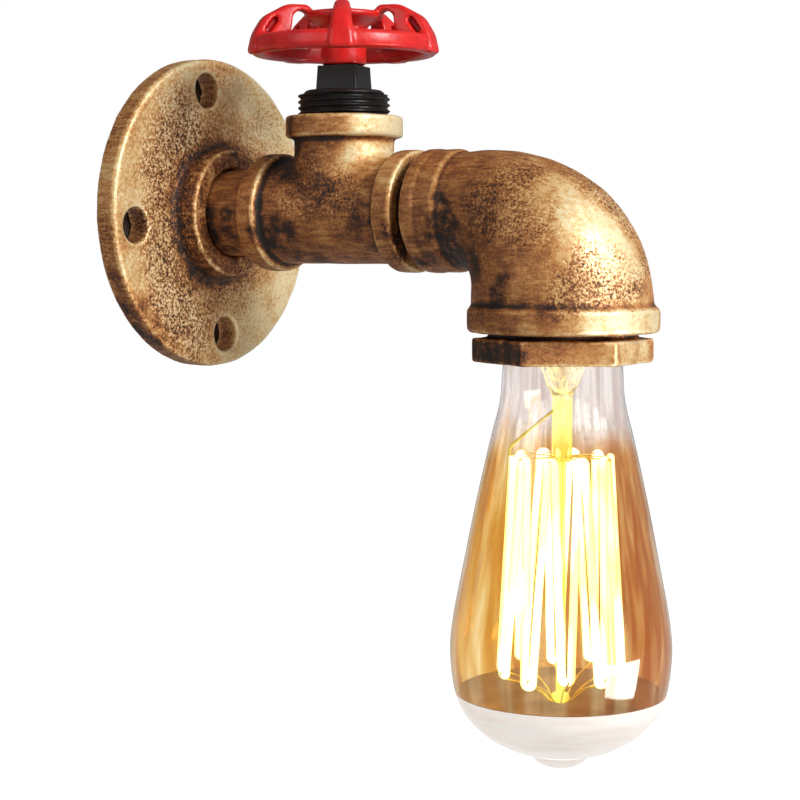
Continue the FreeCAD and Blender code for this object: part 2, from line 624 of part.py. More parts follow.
def holder_retaining_ring():
    """Open spring ring in the bushing's groove, with two eyes for pliers."""
    ring = tube(GROOVE_R, RING_INNER_R, RING_LOW, RING_TOP)
    gap = Part.makeBox(RING_GAP, RING_GAP + 2, 4, V(RING_INNER_R - 2, -RING_GAP / 2 - 1, RING_LOW - 1))
    shapes = [ring.cut(gap)]
    holes = []
    for side in (-1, 1):
        spot = polar(RING_INNER_R + 0.2, side * RING_EYE_TURN, 0)
        eye = cylinder(RING_EYE_R, RING_LOW, RING_TOP)
        eye.translate(spot)
        shapes.append(eye)
        hole = cylinder(RING_EYE_HOLE_R, RING_LOW - 1, RING_TOP + 1)
        hole.translate(spot)
        holes.append(hole)
    ring = fused(shapes).common(cylinder(GROOVE_R, RING_LOW, RING_TOP)).cut(holes)
    ring.rotate(ORIGIN, UP, 90)
    return on_axis(ring, LAMP_OUT)


# ---------------------------------------------------------------- lamp
def glass_side(inset):
    """The bulb's long curve, moved inwards square to itself by this much."""
    points = [V(r, 0, z) for r, z in GLASS_OUTLINE]
    moved = []
    for i, point in enumerate(points):
        before = points[max(i - 1, 0)]
        after = points[min(i + 1, len(points) - 1)]
        along = (after - before).normalize()
        inward = V(along.z, 0, -along.x)
        moved.append(point + inward * inset)
    return moved


def curve_through(points):
    curve = Part.BSplineCurve()
    curve.interpolate(points)
    return curve.toShape()


def glass_line(inset):
    """Edges from the neck's top edge, round the outside or inside, to the axis."""
    neck_top = V(GLASS_NECK_R - inset, 0, CAP_THREAD_LOW - 0.4)
    neck_low = V(GLASS_NECK_R - inset, 0, CAP_RIM - 0.2 - inset)
    side = glass_side(inset)
    shoulder = Part.BSplineCurve()
    shoulder.interpolate([neck_low, V(14.6 - inset, 0, -40.0 - 0.6 * inset), side[0]])
    pip = [side[-1], V(PIP_SHOULDER[0] - 0.6 * inset, 0, PIP_SHOULDER[1] + inset),
           V(PIP_SIDE[0] - inset, 0, PIP_SIDE[1] + 0.8 * inset), V(0, 0, PIP_TIP_Z + inset)]
    return [Part.LineSegment(neck_top, neck_low).toShape(), shoulder.toShape(),
            curve_through(side), curve_through(pip)]


def bulb_glass():
    outside = glass_line(0.0)
    inside = glass_line(GLASS_WALL)
    lip = Part.LineSegment(V(GLASS_NECK_R, 0, CAP_THREAD_LOW - 0.4),
                           V(GLASS_NECK_R - GLASS_WALL, 0, CAP_THREAD_LOW - 0.4)).toShape()
    floor = Part.LineSegment(V(0, 0, PIP_TIP_Z), V(0, 0, PIP_TIP_Z + GLASS_WALL)).toShape()
    edges = Part.__sortEdges__(outside + inside + [lip, floor])
    solid = Part.Face(Part.Wire(edges)).revolve(ORIGIN, UP, 360)
    return on_axis(solid, LAMP_OUT)


def bulb_stem():
    """Flared glass foot sealed into the neck, pinched to a rod that carries the cage."""
    neck = GLASS_NECK_R - GLASS_WALL
    body = turned([
        (neck, STEM_TOP), (neck, STEM_TOP - 1.0, 0.5), (7.4, STEM_TOP - 5.0, 3.0),
        (5.0, STEM_TOP - 12.0, 4.0), (2.9, STEM_TOP - 16.0, 3.0), (2.9, STEM_LOW, 1.0),
        (STEM_ROD_R, STEM_LOW), (STEM_ROD_R, STEM_BUTTON_Z + STEM_BUTTON_R * 0.7),
        (STEM_BUTTON_R, STEM_BUTTON_Z + 1.2, 0.8), (STEM_BUTTON_R, STEM_BUTTON_Z - 1.2, 1.0),
        (0, STEM_BUTTON_Z - 1.2), (0, STEM_TOP - 15.0),
        (1.8, STEM_TOP - 14.0), (3.8, STEM_TOP - 10.5), (6.2, STEM_TOP - 5.0, 3.0),
        (neck - 1.0, STEM_TOP)])
    return on_axis(body, LAMP_OUT)


def u_turn(radius, degrees, z):
    """The two corners where the filament goes over one hook."""
    spread = math.degrees(FILAMENT_TURN / 2 / radius)
    return [polar(radius, degrees - spread, z), polar(radius, degrees + spread, z)]


def cage_points():
    """Corners of the filament: down and up between the top and bottom hooks."""
    step = 360.0 / HAIRPINS
    points = [polar(CAGE_TOP_R, FILAMENT_END_TURN, CAGE_TOP_Z)]
    for k in range(HAIRPINS):
        points += u_turn(CAGE_LOW_R, step * (k + 0.5), CAGE_LOW_Z)
        if k < HAIRPINS - 1:
            points += u_turn(CAGE_TOP_R, step * (k + 1), CAGE_TOP_Z)
    points.append(polar(CAGE_TOP_R, -FILAMENT_END_TURN, CAGE_TOP_Z))
    return points


def on_cage(shape):
    """Turn a piece of the cage so that its ends face the right way, and hang it on the lamp."""
    shape.rotate(ORIGIN, UP, CAGE_TURN)
    return on_axis(shape, LAMP_OUT)


def bulb_filament():
    return on_cage(wire_along(cage_points(), FILAMENT_R, FILAMENT_BEND_R))


def hook(start, end):
    return Part.makeCylinder(HOOK_R, (end - start).Length, start, end - start)


def bulb_top_hooks():
    """Straight support wires from the stem to the filament's top bends."""
    z = CAGE_TOP_Z - FILAMENT_R - HOOK_R
    hooks = []
    for k in range(1, HAIRPINS):
        turn = 360.0 / HAIRPINS * k
        hooks.append(hook(polar(TOP_HOOK_ROOT_R, turn, z), polar(CAGE_TOP_R + HOOK_OVERHANG, turn, z)))
    return on_cage(Part.makeCompound(hooks))


def bulb_bottom_hooks():
    """Support wires spread like a star from the button to the filament's bottom bends."""
    lift = FILAMENT_R + HOOK_R + 0.3
    hooks = []
    for k in range(HAIRPINS):
        turn = 360.0 / HAIRPINS * (k + 0.5)
        hooks.append(hook(polar(STEM_BUTTON_R - 0.5, turn, STEM_BUTTON_Z),
                          polar(CAGE_LOW_R + HOOK_OVERHANG, turn, CAGE_LOW_Z + lift)))
    return on_cage(Part.makeCompound(hooks))


def bulb_lead_wires():
    """The two wires that feed the ends of the filament, out of the stem's pinch."""
    leads = []
    for turn in (FILAMENT_END_TURN, -FILAMENT_END_TURN):
        start = polar(TOP_HOOK_ROOT_R, turn * 3, LEAD_ROOT_Z)
        knee = polar(LEAD_KNEE[0], turn, LEAD_KNEE[1])
        above = polar(CAGE_TOP_R, turn, CAGE_TOP_Z + LEAD_DROP)
        end = polar(CAGE_TOP_R, turn, CAGE_TOP_Z + LEAD_GAP)
        leads.append(wire_along([start, knee, above, end], LEAD_R, LEAD_BEND_R))
    return on_cage(Part.makeCompound(leads))


def bulb_screw_cap():
    outside = round_thread(CAP_THREAD_R, LAMP_THREAD_DEPTH, LAMP_PITCH,
                           CAP_THREAD_LOW, CAP_THREAD_TOP)
    inside = round_thread(CAP_THREAD_R - SHEET, LAMP_THREAD_DEPTH, LAMP_PITCH,
                          CAP_THREAD_LOW, CAP_THREAD_TOP)
    threaded = outside.cut(inside)
    skirt = tube(CAP_SKIRT_R, GLASS_NECK_R, CAP_RIM, CAP_THREAD_LOW)
    step = tube(CAP_SKIRT_R, CAP_THREAD_R - 1.0, CAP_THREAD_LOW - 0.4, CAP_THREAD_LOW)
    cone_foot = CAP_THREAD_R - LAMP_THREAD_DEPTH - 0.1
    lid_top = CAP_THREAD_TOP + SHEET
    lid = round_thread(CAP_THREAD_R, LAMP_THREAD_DEPTH, LAMP_PITCH, CAP_THREAD_TOP, lid_top)
    lid = lid.cut(cylinder(cone_foot - 1.0, CAP_THREAD_TOP - 1, lid_top + 1))
    cone = turned([
        (cone_foot - 1.0, CAP_THREAD_TOP), (cone_foot, CAP_THREAD_TOP), (cone_foot, lid_top),
        (CAP_CONE_R, CAP_CONE_TOP), (CAP_CONE_R - SHEET, CAP_CONE_TOP),
        (cone_foot - 1.0, lid_top)])
    return on_axis(fused([threaded, skirt, step, lid, cone]), LAMP_OUT)


def bulb_cap_insulator():
    """Black glass between the cap and the contact."""
    body = turned([
        (1.2, CAP_CONE_TOP - 0.6), (CAP_CONE_R - SHEET, CAP_CONE_TOP - 0.6),
        (CAP_CONE_R - SHEET, CAP_CONE_TOP), (EYELET_R, EYELET_LOW), (1.2, EYELET_LOW)])
    return on_axis(body, LAMP_OUT)


def bulb_eyelet():
    body = turned([
        (0, CAP_CONE_TOP - 1.6), (1.2, CAP_CONE_TOP - 1.6), (1.2, EYELET_LOW),
        (EYELET_R, EYELET_LOW), (EYELET_R, EYELET_LOW + 0.4, 0.3), (2.6, EYELET_TOP, 1.0),
        (0, EYELET_TOP)])
    return on_axis(body, LAMP_OUT)


# ---------------------------------------------------------------- write the pieces
def pieces():
    return {
        "wall_flange": wall_flange(),
        "earth_screw": earth_screw(),
        "earth_washer": earth_washer(),
        "flange_nipple": flange_nipple(),
        "pipe_tee": pipe_tee(),
        "arm_nipple": arm_nipple(),
        "reducing_elbow": reducing_elbow(),
        "hex_bushing": hex_bushing(),
        "threaded_plug": threaded_plug(),
        "handwheel": handwheel(),
        "handwheel_bush": handwheel_bush(),
        "handwheel_washer": handwheel_washer(),
        "handwheel_screw": handwheel_screw(),
        "holder_body": holder_body(),
        "holder_screw_shell": holder_screw_shell(),
        "holder_centre_contact": holder_centre_contact(),
        "holder_terminals": holder_terminals(),
        "holder_terminal_screws": holder_terminal_screws(),
        "holder_retaining_ring": holder_retaining_ring(),
        "wire_ferrules": wire_ferrules(),
        "live_wire": supply_wire(-1),
        "neutral_wire": supply_wire(1),
        "bulb_glass": bulb_glass(),
        "bulb_stem": bulb_stem(),
        "bulb_lead_wires": bulb_lead_wires(),
        "bulb_filament": bulb_filament(),
        "bulb_top_hooks": bulb_top_hooks(),
        "bulb_bottom_hooks": bulb_bottom_hooks(),
        "bulb_screw_cap": bulb_screw_cap(),
        "bulb_cap_insulator": bulb_cap_insulator(),
        "bulb_eyelet": bulb_eyelet(),
    }


os.makedirs("parts", exist_ok=True)
for name, shape in pieces().items():
    shape.exportStep("parts/" + name + ".step")
    solids = len(shape.Solids)
    print(f"{name:24s} valid {shape.isValid()} solids {solids} volume {shape.Volume:.1f}")
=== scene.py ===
"""Looks of the industrial pipe wall light.

Metres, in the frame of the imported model: the wall is y = 0, the arm runs out along -Y and
+Z is up. Shapes are written in millimetres and scaled by MM.
"""
import math

import bmesh
import bpy
import numpy as np
from mathutils import Matrix, Vector, noise


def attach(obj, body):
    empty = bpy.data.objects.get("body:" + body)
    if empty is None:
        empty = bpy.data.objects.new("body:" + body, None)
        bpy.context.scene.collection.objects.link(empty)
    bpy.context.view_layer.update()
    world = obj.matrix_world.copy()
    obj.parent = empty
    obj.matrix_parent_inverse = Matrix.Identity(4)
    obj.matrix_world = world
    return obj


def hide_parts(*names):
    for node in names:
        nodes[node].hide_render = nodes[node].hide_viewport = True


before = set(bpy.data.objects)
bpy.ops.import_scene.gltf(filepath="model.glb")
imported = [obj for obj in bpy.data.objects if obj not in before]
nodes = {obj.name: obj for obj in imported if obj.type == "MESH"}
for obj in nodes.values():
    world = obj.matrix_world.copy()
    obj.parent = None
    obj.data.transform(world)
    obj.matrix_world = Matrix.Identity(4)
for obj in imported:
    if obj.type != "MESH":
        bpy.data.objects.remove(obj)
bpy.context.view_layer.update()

MM = 0.001
LAMP_AXIS = Vector((0.0, -133.8, 0.0))

# ---- camera, as the photograph was taken ----
CAMERA_AT = (-0.47604, -0.39304, -0.00889)
CAMERA_TURN = -56.5             # degrees off the wall's normal
CAMERA_DROP = 4.8               # degrees down from level
CAMERA_LENS = 85.05
CAMERA_SENSOR = 36.0
CAMERA_NEAR = 0.01

# ---- light ----
KEY_FROM = Vector((-0.10, -0.90, 0.42))
KEY_AIM = Vector((0.0, -0.08, -0.03))
KEY_SIZE = 0.34
KEY_POWER = 8.5
FILL_FROM = Vector((-0.75, 0.10, 0.30))
FILL_SIZE = 0.5
FILL_POWER = 1.2
SKY_FILL = 0.30                 # the world's strength on the object
ROOM_DARK = 0.16                # its strength in mirrors, and what is added on the side of the arm
ROOM_BRIGHTER = 0.40
ROOM_FADE = (0.5, -0.9)         # Y of the direction where that starts and where it is full

# ---- stage ----
FLOOR_Z = -0.19
FLOOR_HALF = 3.0
FLOOR_WHITE = 0.92
FLOOR_IN_MIRRORS = 0.3
PANEL_FROM = (-0.016, -0.161)   # a white panel on the floor before the lamp, fanned out from here
PANEL_REACH = (0.103, 0.50)     # how far out it starts and ends, and how softly
PANEL_SOFT = (0.01, 0.06)
PANEL_SIDES = ((-0.27, -0.24), (0.52, 0.49))    # slope of each side, where it starts and is full
PANEL_POWER = 20.0
HOLE_BACKING_R = 46.0           # dark disc seen through the flange's holes: painted shade standing for the shaded wall
HOLE_BACKING_GAP = 0.5
HOLE_BACKING_SEGMENTS = 96

# ---- castings ----
CASTING_VOXEL = 0.6
CASTING_SOFTNESS = 2            # rounds of smoothing that soften the edges
WHEEL_VOXEL = 0.45
WHEEL_SOFTNESS = 8
MERGE_DISTANCE = 1e-6           # metres between corners that are one
WAVE_SIZE = 7.0                 # waves left by the mould
WAVE_DEPTH = 0.16
WAVE_SINK = 0.5                 # share of a wave that lies inside the smooth face
RIPPLE_SIZE = 1.7               # finer waves on them
RIPPLE_DEPTH = 0.04
BROAD_SMOOTHING = 26            # rounds of smoothing that find wide hollows
BROAD_HOLLOW = 0.8              # dip that shows as full dark
FINE_SMOOTHING = 4              # rounds of smoothing that find edges and crevices
FINE_HOLLOW = 0.14              # dip that shows as a full dark crevice
FINE_RIDGE = 0.050              # bulge that shows as a full bright edge
RIDGE_START = 0.90              # how much of it an edge needs before it brightens
MARK_WANDER = 3.4               # how far a mark's outline strays, and over what length
MARK_WANDER_SIZE = 7.0
MARK_FADE = 1.5                 # radii at which a mark has faded out
MARK_SEED = 3                   # without it, the clock picks how the marks stray

# Marks on the castings: x, y, z, radius in millimetres, then strength.
# Dark marks: painted shade, as under the flange's hub and in the gaps between fittings, with darker
# patches of the finish.
SHADE_AND_DARK_TONE = {
    "wall_flange": [
        (0, -17, 0, 27, 0.75), (-21, -9, -4, 5, 1.0), (-18, -9, -12, 4, 0.8),
        (-12, -8, -20, 5, 0.9), (-4, -9, -22, 5, 0.8), (-16, -8, -24, 4, 0.5),
        (-39, -5, -30, 6, 0.9), (-29, -4, -39, 7, 0.9), (-44, -5, -22, 5, 0.6)],
    "flange_nipple": [
        (-14, -14, -1, 4, 1.0), (-12, -13, -7, 4.5, 1.0), (-6, -10, -12, 4, 0.9),
        (-14, -23, -1, 3, 0.7), (-12, -22, -7, 4, 0.8), (-6, -18, -12, 3, 0.7)],
    "pipe_tee": [
        (1, -36, 16, 5, 1.0), (-5, -39, 16, 6, 1.0), (-10, -41, 12, 6, 1.0),
        (-12, -48, 20, 3, 1.0), (-15, -37, -5, 3.5, 1.0), (-13, -38, -9, 4, 1.0),
        (-14, -44, -7, 5, 0.9), (-16, -36, 0, 3, 0.8), (-15, -61, 7, 4, 0.45),
        (-16, -74, 2, 2.6, 0.6), (-16, -73, -2, 3, 0.7), (-15, -71, -6, 3, 0.6),
        (-13, -77, -9, 3, 0.5), (-5, -55, -15, 6, 0.5), (-9, -45, -13, 5, 0.5),
        (-16, -49, 26, 3, 0.8), (-14, -86, -7, 4, 1.0), (-11, -86, -12, 4, 1.0)],
    "reducing_elbow": [
        (-17, -103, 1, 3, 1.0), (-17, -104, -3, 4.5, 1.0), (-15, -104, -9, 5, 1.0),
        (-12, -104, -13, 5, 1.0), (-13, -109, -15, 5, 1.0), (-19, -116, -16, 4, 0.8),
        (-16, -98, -9, 4, 0.7), (-11, -93, -15, 4, 1.0), (-25, -128, -23, 4, 0.9),
        (-25, -126, -25, 3, 0.9), (-20, -118, -2, 8, 0.3), (-26, -144, -30, 4, 0.6)],
    "hex_bushing": [
        (-16, -115, -40, 4, 0.9), (-19, -122, -40, 4.5, 0.9), (-23, -129, -40, 4, 0.8),
        (-26, -135, -40, 3, 0.5)],
}
SPECK = {
    "wall_flange": [
        (-19, -8, 31, 8, 0.8), (-15, -8, 26, 9, 1.0), (-24, -8, 21, 8, 0.9),
        (-28, -8, 13, 8, 0.9), (-29, -8, 4, 8, 0.8), (-27, -8, -7, 9, 0.9),
        (-28, -8, -15, 9, 1.0), (-26, -8, -24, 9, 1.0), (-19, -8, -31, 9, 1.0),
        (-11, -8, -37, 8, 0.8), (24, -8, 24, 12, 0.5), (9, -8, -28, 14, 0.35)],
    "pipe_tee": [(-14, -52, 8, 9, 0.4), (-14, -66, 6, 9, 0.4)],
    "reducing_elbow": [
        (-14, -153, -15, 8, 0.9), (-11, -156, -18, 8, 1.0), (-6, -158, -21, 7, 1.0),
        (6, -157, -15, 6, 0.8), (-18, -152, -21, 7, 0.8), (0, -147, 3, 7, 0.7),
        (3, -150, -2, 7, 0.9), (0, -142, 7, 8, 0.5), (-16, -128, 7, 10, 0.5),
        (-20, -124, 1, 10, 0.5), (-20, -134, -2, 10, 0.45), (-22, -148, -23, 6, 0.7)],
}
# Golden marks: rubbed paint and painted highlight together, on surfaces turned towards the light.
GOLD_AND_HIGHLIGHT = {
    "wall_flange": [
        (23, -8, 34, 16, 0.6), (36, -8, 22, 12, 0.7), (19, -8, -38, 14, 0.7),
        (36, -8, -25, 12, 0.7), (8, -6, -43, 10, 0.5), (-18, -8, 40, 14, 0.4),
        (-44, -8, 10, 12, 0.4), (-38, -8, -18, 9, 0.4)],
    "pipe_tee": [
        (-9, -70, 16, 6, 0.9), (-5, -72, 18, 6, 1.0), (1, -73, 20, 6, 1.0),
        (-13, -81, 13, 5, 0.7), (-10, -72, 25, 5, 0.9), (-4, -75, 25, 5, 1.0),
        (4, -75, 26, 5, 1.0)],
    "reducing_elbow": [
        (-12, -139, 5, 7, 0.6), (-12, -144, 1, 8, 0.9), (-12, -148, -4, 8, 1.0),
        (-11, -152, -8, 8, 1.0), (-9, -155, -12, 8, 0.9), (-16, -146, -6, 7, 0.6),
        (-5, -157, -15, 6, 0.8), (-16, -137, 2, 7, 0.4), (-18, -155, -30, 5, 0.9),
        (-12, -159, -30, 5, 1.0), (-5, -161, -30, 5, 1.0), (3, -161, -30, 5, 0.9)],
    "hex_bushing": [(-5, -157, -39, 5, 0.8), (5, -156, -39, 5, 1.0), (-16, -151, -40, 6, 0.4)],
}

# ---- lamp ----
GLASS_WALL = 0.7
GLASS_OUTLINE = [               # radius, height: neck, long cone, belly, foot and pip
    (12.75, -35.0), (12.75, -38.0), (14.6, -40.0), (17.0, -43.2), (17.9, -54.2), (20.7, -65.8),
    (24.6, -83.2), (28.1, -100.7), (31.4, -118.3), (32.0, -129.5), (29.8, -141.8), (24.2, -149.6),
    (17.4, -154.2), (12.4, -156.0), (9.8, -156.9), (8.2, -158.3), (6.4, -159.9), (3.4, -161.1),
    (0.0, -161.3)]
GLASS_STEPS = 8                 # rings between two points of the outline
GLASS_SEGMENTS = 144
POLE_R = 1e-6                   # a smaller radius closes to one point
MILKY_TOP = -139.0
CAGE_TOP_Z = -70.6
CAGE_LOW_Z = -133.0
CAGE_TOP_R = 14.0
CAGE_LOW_R = 17.6
CAGE_TURN = 124.0               # from +X to the gap between the filament's ends
HAIRPIN_HALF = 4.4              # degrees from a U-turn's middle to its strands
HAIRPIN_RUN = 2.5               # how far from its end a strand starts to turn
GLOW_R = 1.20                   # the strands look thicker than they are, because they glow
GLOW_UNEVENNESS = 0.25
END_TURN = 5.0                  # degrees from the gap's middle to the filament's ends
LOW_ENDS = (0.0, -1.4, 0.6, -0.8, 1.2, -1.8, 0.4, -1.0, 1.0, -0.4)  # each hairpin's own rise
HAIRPINS = len(LOW_ENDS)
BUTTON_Z = -141.0               # end of the stem's rod, where the lower wires start
HOOK_WIRE_R = 0.25
HOOK_WIRE_RUN = [               # radius, degrees past the hairpin's middle, height over BUTTON_Z
    (1.2, 0.0, -0.6), (2.6, 0.0, -1.4), (6.0, 0.0, 2.2), (11.0, 0.0, 5.2),
    (CAGE_LOW_R - 1.0, 0.0, 6.6), (CAGE_LOW_R + 0.8, 0.0, 7.6), (CAGE_LOW_R + 1.4, 2.0, 8.8),
    (CAGE_LOW_R + 0.2, 3.0, 9.4)]
WIRE_SIDES = 10
WIRE_STEPS = 8                  # lengths of wire between two points of its run
WIRE_LUMPS = 110.0              # swellings per metre
WIRE_SEED = 3


# ---------------------------------------------------------------- objects and meshes
def placed(name, data):
    made = bpy.data.objects.new(name, data)
    bpy.context.scene.collection.objects.link(made)
    return made


def add_piece(name, mesh, body, finish_slot, *replaced):
    piece = placed(name, mesh)
    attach(piece, body)
    if replaced:
        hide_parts(*replaced)
    return piece


def mesh_from(work, name):
    mesh = bpy.data.meshes.new(name)
    work.to_mesh(mesh)
    work.free()
    return mesh


def finished_mesh(temporary, name):
    """Plain mesh that an object's modifiers make; the object goes."""
    shown = temporary.evaluated_get(bpy.context.evaluated_depsgraph_get())
    mesh = bpy.data.meshes.new_from_object(shown)
    bpy.data.objects.remove(temporary)
    mesh.name = name
    return mesh


# ---------------------------------------------------------------- node trees
class Tree:
    """Short way to write a node tree: each call adds a node and gives back its output."""

    def __init__(self, tree):
        self.tree = tree

    def node(self, kind, inputs=None, **settings):
        made = self.tree.nodes.new(kind)
        for name, value in settings.items():
            setattr(made, name, value)
        for key, value in (inputs or {}).items():
            self.feed(made.inputs[key], value)
        return made

    def feed(self, socket, value):
        if isinstance(value, bpy.types.NodeSocket):
            self.tree.links.new(value, socket)
        else:
            socket.default_value = value

    def math(self, operation, a, b=0.0, clamp=False):
        made = self.node("ShaderNodeMath", {0: a, 1: b}, operation=operation, use_clamp=clamp)
        return made.outputs[0]

    def weigh(self, *terms):
        """Sum of value times weight; a bare number is added as it is."""
        total = 0.0
        for term in terms:
            part = self.math("MULTIPLY", term[0], term[1]) if isinstance(term, tuple) else term
            total = part if total == 0.0 else self.math("ADD", total, part)
        return total

    def between(self, value, low, high):
        """0 below low and 1 above high, with a smooth step."""
        inputs = {"Value": value, "From Min": low, "From Max": high}
        step = self.node("ShaderNodeMapRange", inputs, interpolation_type="SMOOTHSTEP")
        return step.outputs["Result"]

    def noise(self, vector, scale, detail=3.0, rough=0.55):
        inputs = {"Vector": vector, "Scale": scale, "Detail": detail, "Roughness": rough}
        return self.node("ShaderNodeTexNoise", inputs).outputs["Fac"]

    def stretched(self, vector, scale):
        made = self.node("ShaderNodeMapping", {"Vector": vector, "Scale": scale})
        return made.outputs["Vector"]

    def ramp(self, value, stops):
        made = self.node("ShaderNodeValToRGB", {"Fac": value})
        band = made.color_ramp
        while len(band.elements) < len(stops):
            band.elements.new(0.5)
        for element, (place, colour) in zip(band.elements, stops):
            element.position = place
            element.color = (*colour, 1.0)
        return made.outputs["Color"]

    def mix(self, share, a, b):
        made = self.node("ShaderNodeMix", {"Factor": share}, data_type="RGBA")
        for socket, colour in ((made.inputs[6], a), (made.inputs[7], b)):
            plain = isinstance(colour, tuple)
            self.feed(socket, (*colour, 1.0) if plain else colour)
        return made.outputs[2]

    def attribute(self, name):
        return self.node("ShaderNodeAttribute", attribute_name=name).outputs["Fac"]

    def place(self):
        """Place on the piece, in millimetres."""
        inputs = {0: self.node("ShaderNodeTexCoord").outputs["Object"], "Scale": 1 / MM}
        return self.node("ShaderNodeVectorMath", inputs, operation="SCALE").outputs[0]

    def axis(self, vector, name):
        return self.node("ShaderNodeSeparateXYZ", {0: vector}).outputs[name]


def new_material(name):
    material = bpy.data.materials.new(name)
    material.use_nodes = True
    tree = Tree(material.node_tree)
    return material, tree, material.node_tree.nodes["Principled BSDF"]


def set_shader(tree, shader, **values):
    """Each value goes to the socket of its name, with spaces for its underscores."""
    for name, value in values.items():
        tree.feed(shader.inputs[name.replace("_", " ")], value)


def bumped(tree, height, strength, depth):
    inputs = {"Height": height, "Strength": strength, "Distance": depth * MM}
    return tree.node("ShaderNodeBump", inputs).outputs["Normal"]


def new_group(name, inputs, outputs):
    """Shader group with these sockets, and its tree, input and output nodes."""
    group = bpy.data.node_groups.new(name, "ShaderNodeTree")
    for in_out, sockets in (("INPUT", inputs), ("OUTPUT", outputs)):
        for label, kind in sockets.items():
            group.interface.new_socket(label, in_out=in_out, socket_type="NodeSocket" + kind)
    tree = Tree(group)
    return group, tree, tree.node("NodeGroupInput").outputs, tree.node("NodeGroupOutput").inputs


# ---------------------------------------------------------------- antique bronze
BRONZE = [                      # from the hollows and painted shade to the most rubbed places and painted highlights
    (0.00, (0.010, 0.006, 0.004)), (0.20, (0.050, 0.018, 0.008)), (0.36, (0.170, 0.056, 0.017)),
    (0.52, (0.360, 0.130, 0.034)), (0.67, (0.560, 0.262, 0.080)), (0.83, (0.750, 0.490, 0.210)),
    (1.00, (0.880, 0.730, 0.440))]
WEAR_AND_PAINTED_LIGHT = ("Ridge", "Hollow", "Shade_and_dark_tone", "Speck", "Gold_and_highlight")     # attributes that casting() writes: wear, and marks that are partly painted shade and painted highlight
BRONZE_GRAIN = {                # scale, detail, roughness, and the grey where it starts and is full
    "sand": (1.25, 5.0, 0.75, 0.40, 0.60),
    "dots": (1.5, 2.0, 0.55, 0.56, 0.66),
    "streaks": (0.8, 4.0, 0.70, 0.34, 0.64),
    "broken": (0.45, 4.0, 0.70, 0.34, 0.62),
    "torn": (0.28, 5.0, 0.75, 0.38, 0.60),
}
CLOUD_SCALE = 0.13
STREAK_STRETCH = (1.0, 0.16, 1.1)
LEAST_GRIT = 0.04
DARKEST_GRAIN = -0.6
RUB_BASE = -0.32
RUB_AND_LIGHT_SHARES = {                  # what each adds to the value that picks the colour in BRONZE, wear and painted light together: facing brightens the side that faces -Y as painted light, and the dark and golden marks add painted shade and painted highlight
    "clouds": 0.50, "grit": 1.0, "streaks": 0.18, "worn": 0.34, "hollow": -0.50, "facing": 0.17,
    "gold_and_highlight": 0.30, "shade_and_dark_patches": -0.50, "specks": -0.30, "dots": -0.08}
BRONZE_METALLIC = 0.30
BRONZE_ROUGHNESS = 0.62         # in the hollows, and what a full rub adds
RUBBED_ROUGHNESS = -0.22


def grain(tree, place, label):
    """A texture of the bronze in greys, and the same as a mask."""
    scale, detail, rough, start, full = BRONZE_GRAIN[label]
    grey = tree.noise(place, scale, detail, rough)
    return grey, tree.between(grey, start, full)


def bronze_group():
    """Paint over cast iron, rubbed back to a golden colour: dark in hollows, bright on edges.
    Painted light too: the side that faces -Y is brighter, the golden marks are partly painted
    highlight and the dark marks partly painted shade.
    """
    values = {label: "Float" for label in WEAR_AND_PAINTED_LIGHT + ("Rub_and_light", "Grit")}
    group, tree, given, made = new_group(
        "antique_bronze", {"Place": "Vector", "Facing": "Float", **values},
        {"Color": "Color", "Roughness": "Float", "Height": "Float"})
    place = given["Place"]
    clouds = tree.noise(place, CLOUD_SCALE)
    sand, sandy = grain(tree, place, "sand")
    dots = grain(tree, place, "dots")[1]
    streaks = grain(tree, tree.stretched(place, STREAK_STRETCH), "streaks")[1]
    broken = grain(tree, place, "broken")[1]
    torn = grain(tree, place, "torn")[1]
    grit = tree.weigh(sandy, DARKEST_GRAIN)
    gritty = tree.weigh(given["Grit"], (given["Speck"], 0.60), (given["Gold_and_highlight"], -0.30))
    gritty = tree.math("MAXIMUM", gritty, LEAST_GRIT)
    looks = {
        "clouds": clouds, "streaks": streaks, "dots": dots,
        "hollow": given["Hollow"], "facing": given["Facing"], "gold_and_highlight": given["Gold_and_highlight"],
        "grit": tree.math("MULTIPLY", grit, gritty),
        "specks": tree.math("MULTIPLY", dots, given["Speck"]),
        "worn": tree.math("MULTIPLY", given["Ridge"], tree.weigh(0.35, (broken, 0.65))),
        "shade_and_dark_patches": tree.math("MULTIPLY", given["Shade_and_dark_tone"], tree.weigh(0.25, (torn, 0.75)))}
    shares = [(looks[label], share) for label, share in RUB_AND_LIGHT_SHARES.items()]
    rub_and_light = tree.weigh(given["Rub_and_light"], RUB_BASE, *shares)
    made["Color"].default_value = (0, 0, 0, 1)
    tree.feed(made["Color"], tree.ramp(rub_and_light, BRONZE))
    roughness = tree.weigh(BRONZE_ROUGHNESS, (tree.between(rub_and_light, 0.2, 0.9), RUBBED_ROUGHNESS))
    tree.feed(made["Roughness"], roughness)
    tree.feed(made["Height"], tree.weigh((sand, 0.7), (streaks, 0.12), (dots, -0.3)))
    return group


def bronze(name, rub_and_light, grit):
    """A bronze finish: a higher first value is brighter all over, more grit has more dark specks.
    The side that faces -Y is brightened as painted light.
    """
    material, tree, shader = new_material(name)
    # Painted light: surfaces turned towards -Y, where the key lamp stands, come out brighter.
    normal = tree.node("ShaderNodeTexCoord").outputs["Normal"]
    facing = tree.math("MULTIPLY", tree.axis(normal, "Y"), -1.0)
    inputs = {"Place": tree.place(), "Facing": facing, "Rub_and_light": rub_and_light, "Grit": grit}
    inputs.update({label: tree.attribute(label.lower()) for label in WEAR_AND_PAINTED_LIGHT})
    finish = tree.node("ShaderNodeGroup", node_tree=BRONZE_GROUP)
    for label, value in inputs.items():
        tree.feed(finish.inputs[label], value)
    set_shader(tree, shader, Base_Color=finish.outputs["Color"],
               Roughness=finish.outputs["Roughness"], Metallic=BRONZE_METALLIC,
               Normal=bumped(tree, finish.outputs["Height"], 0.5, 0.25))
    return material


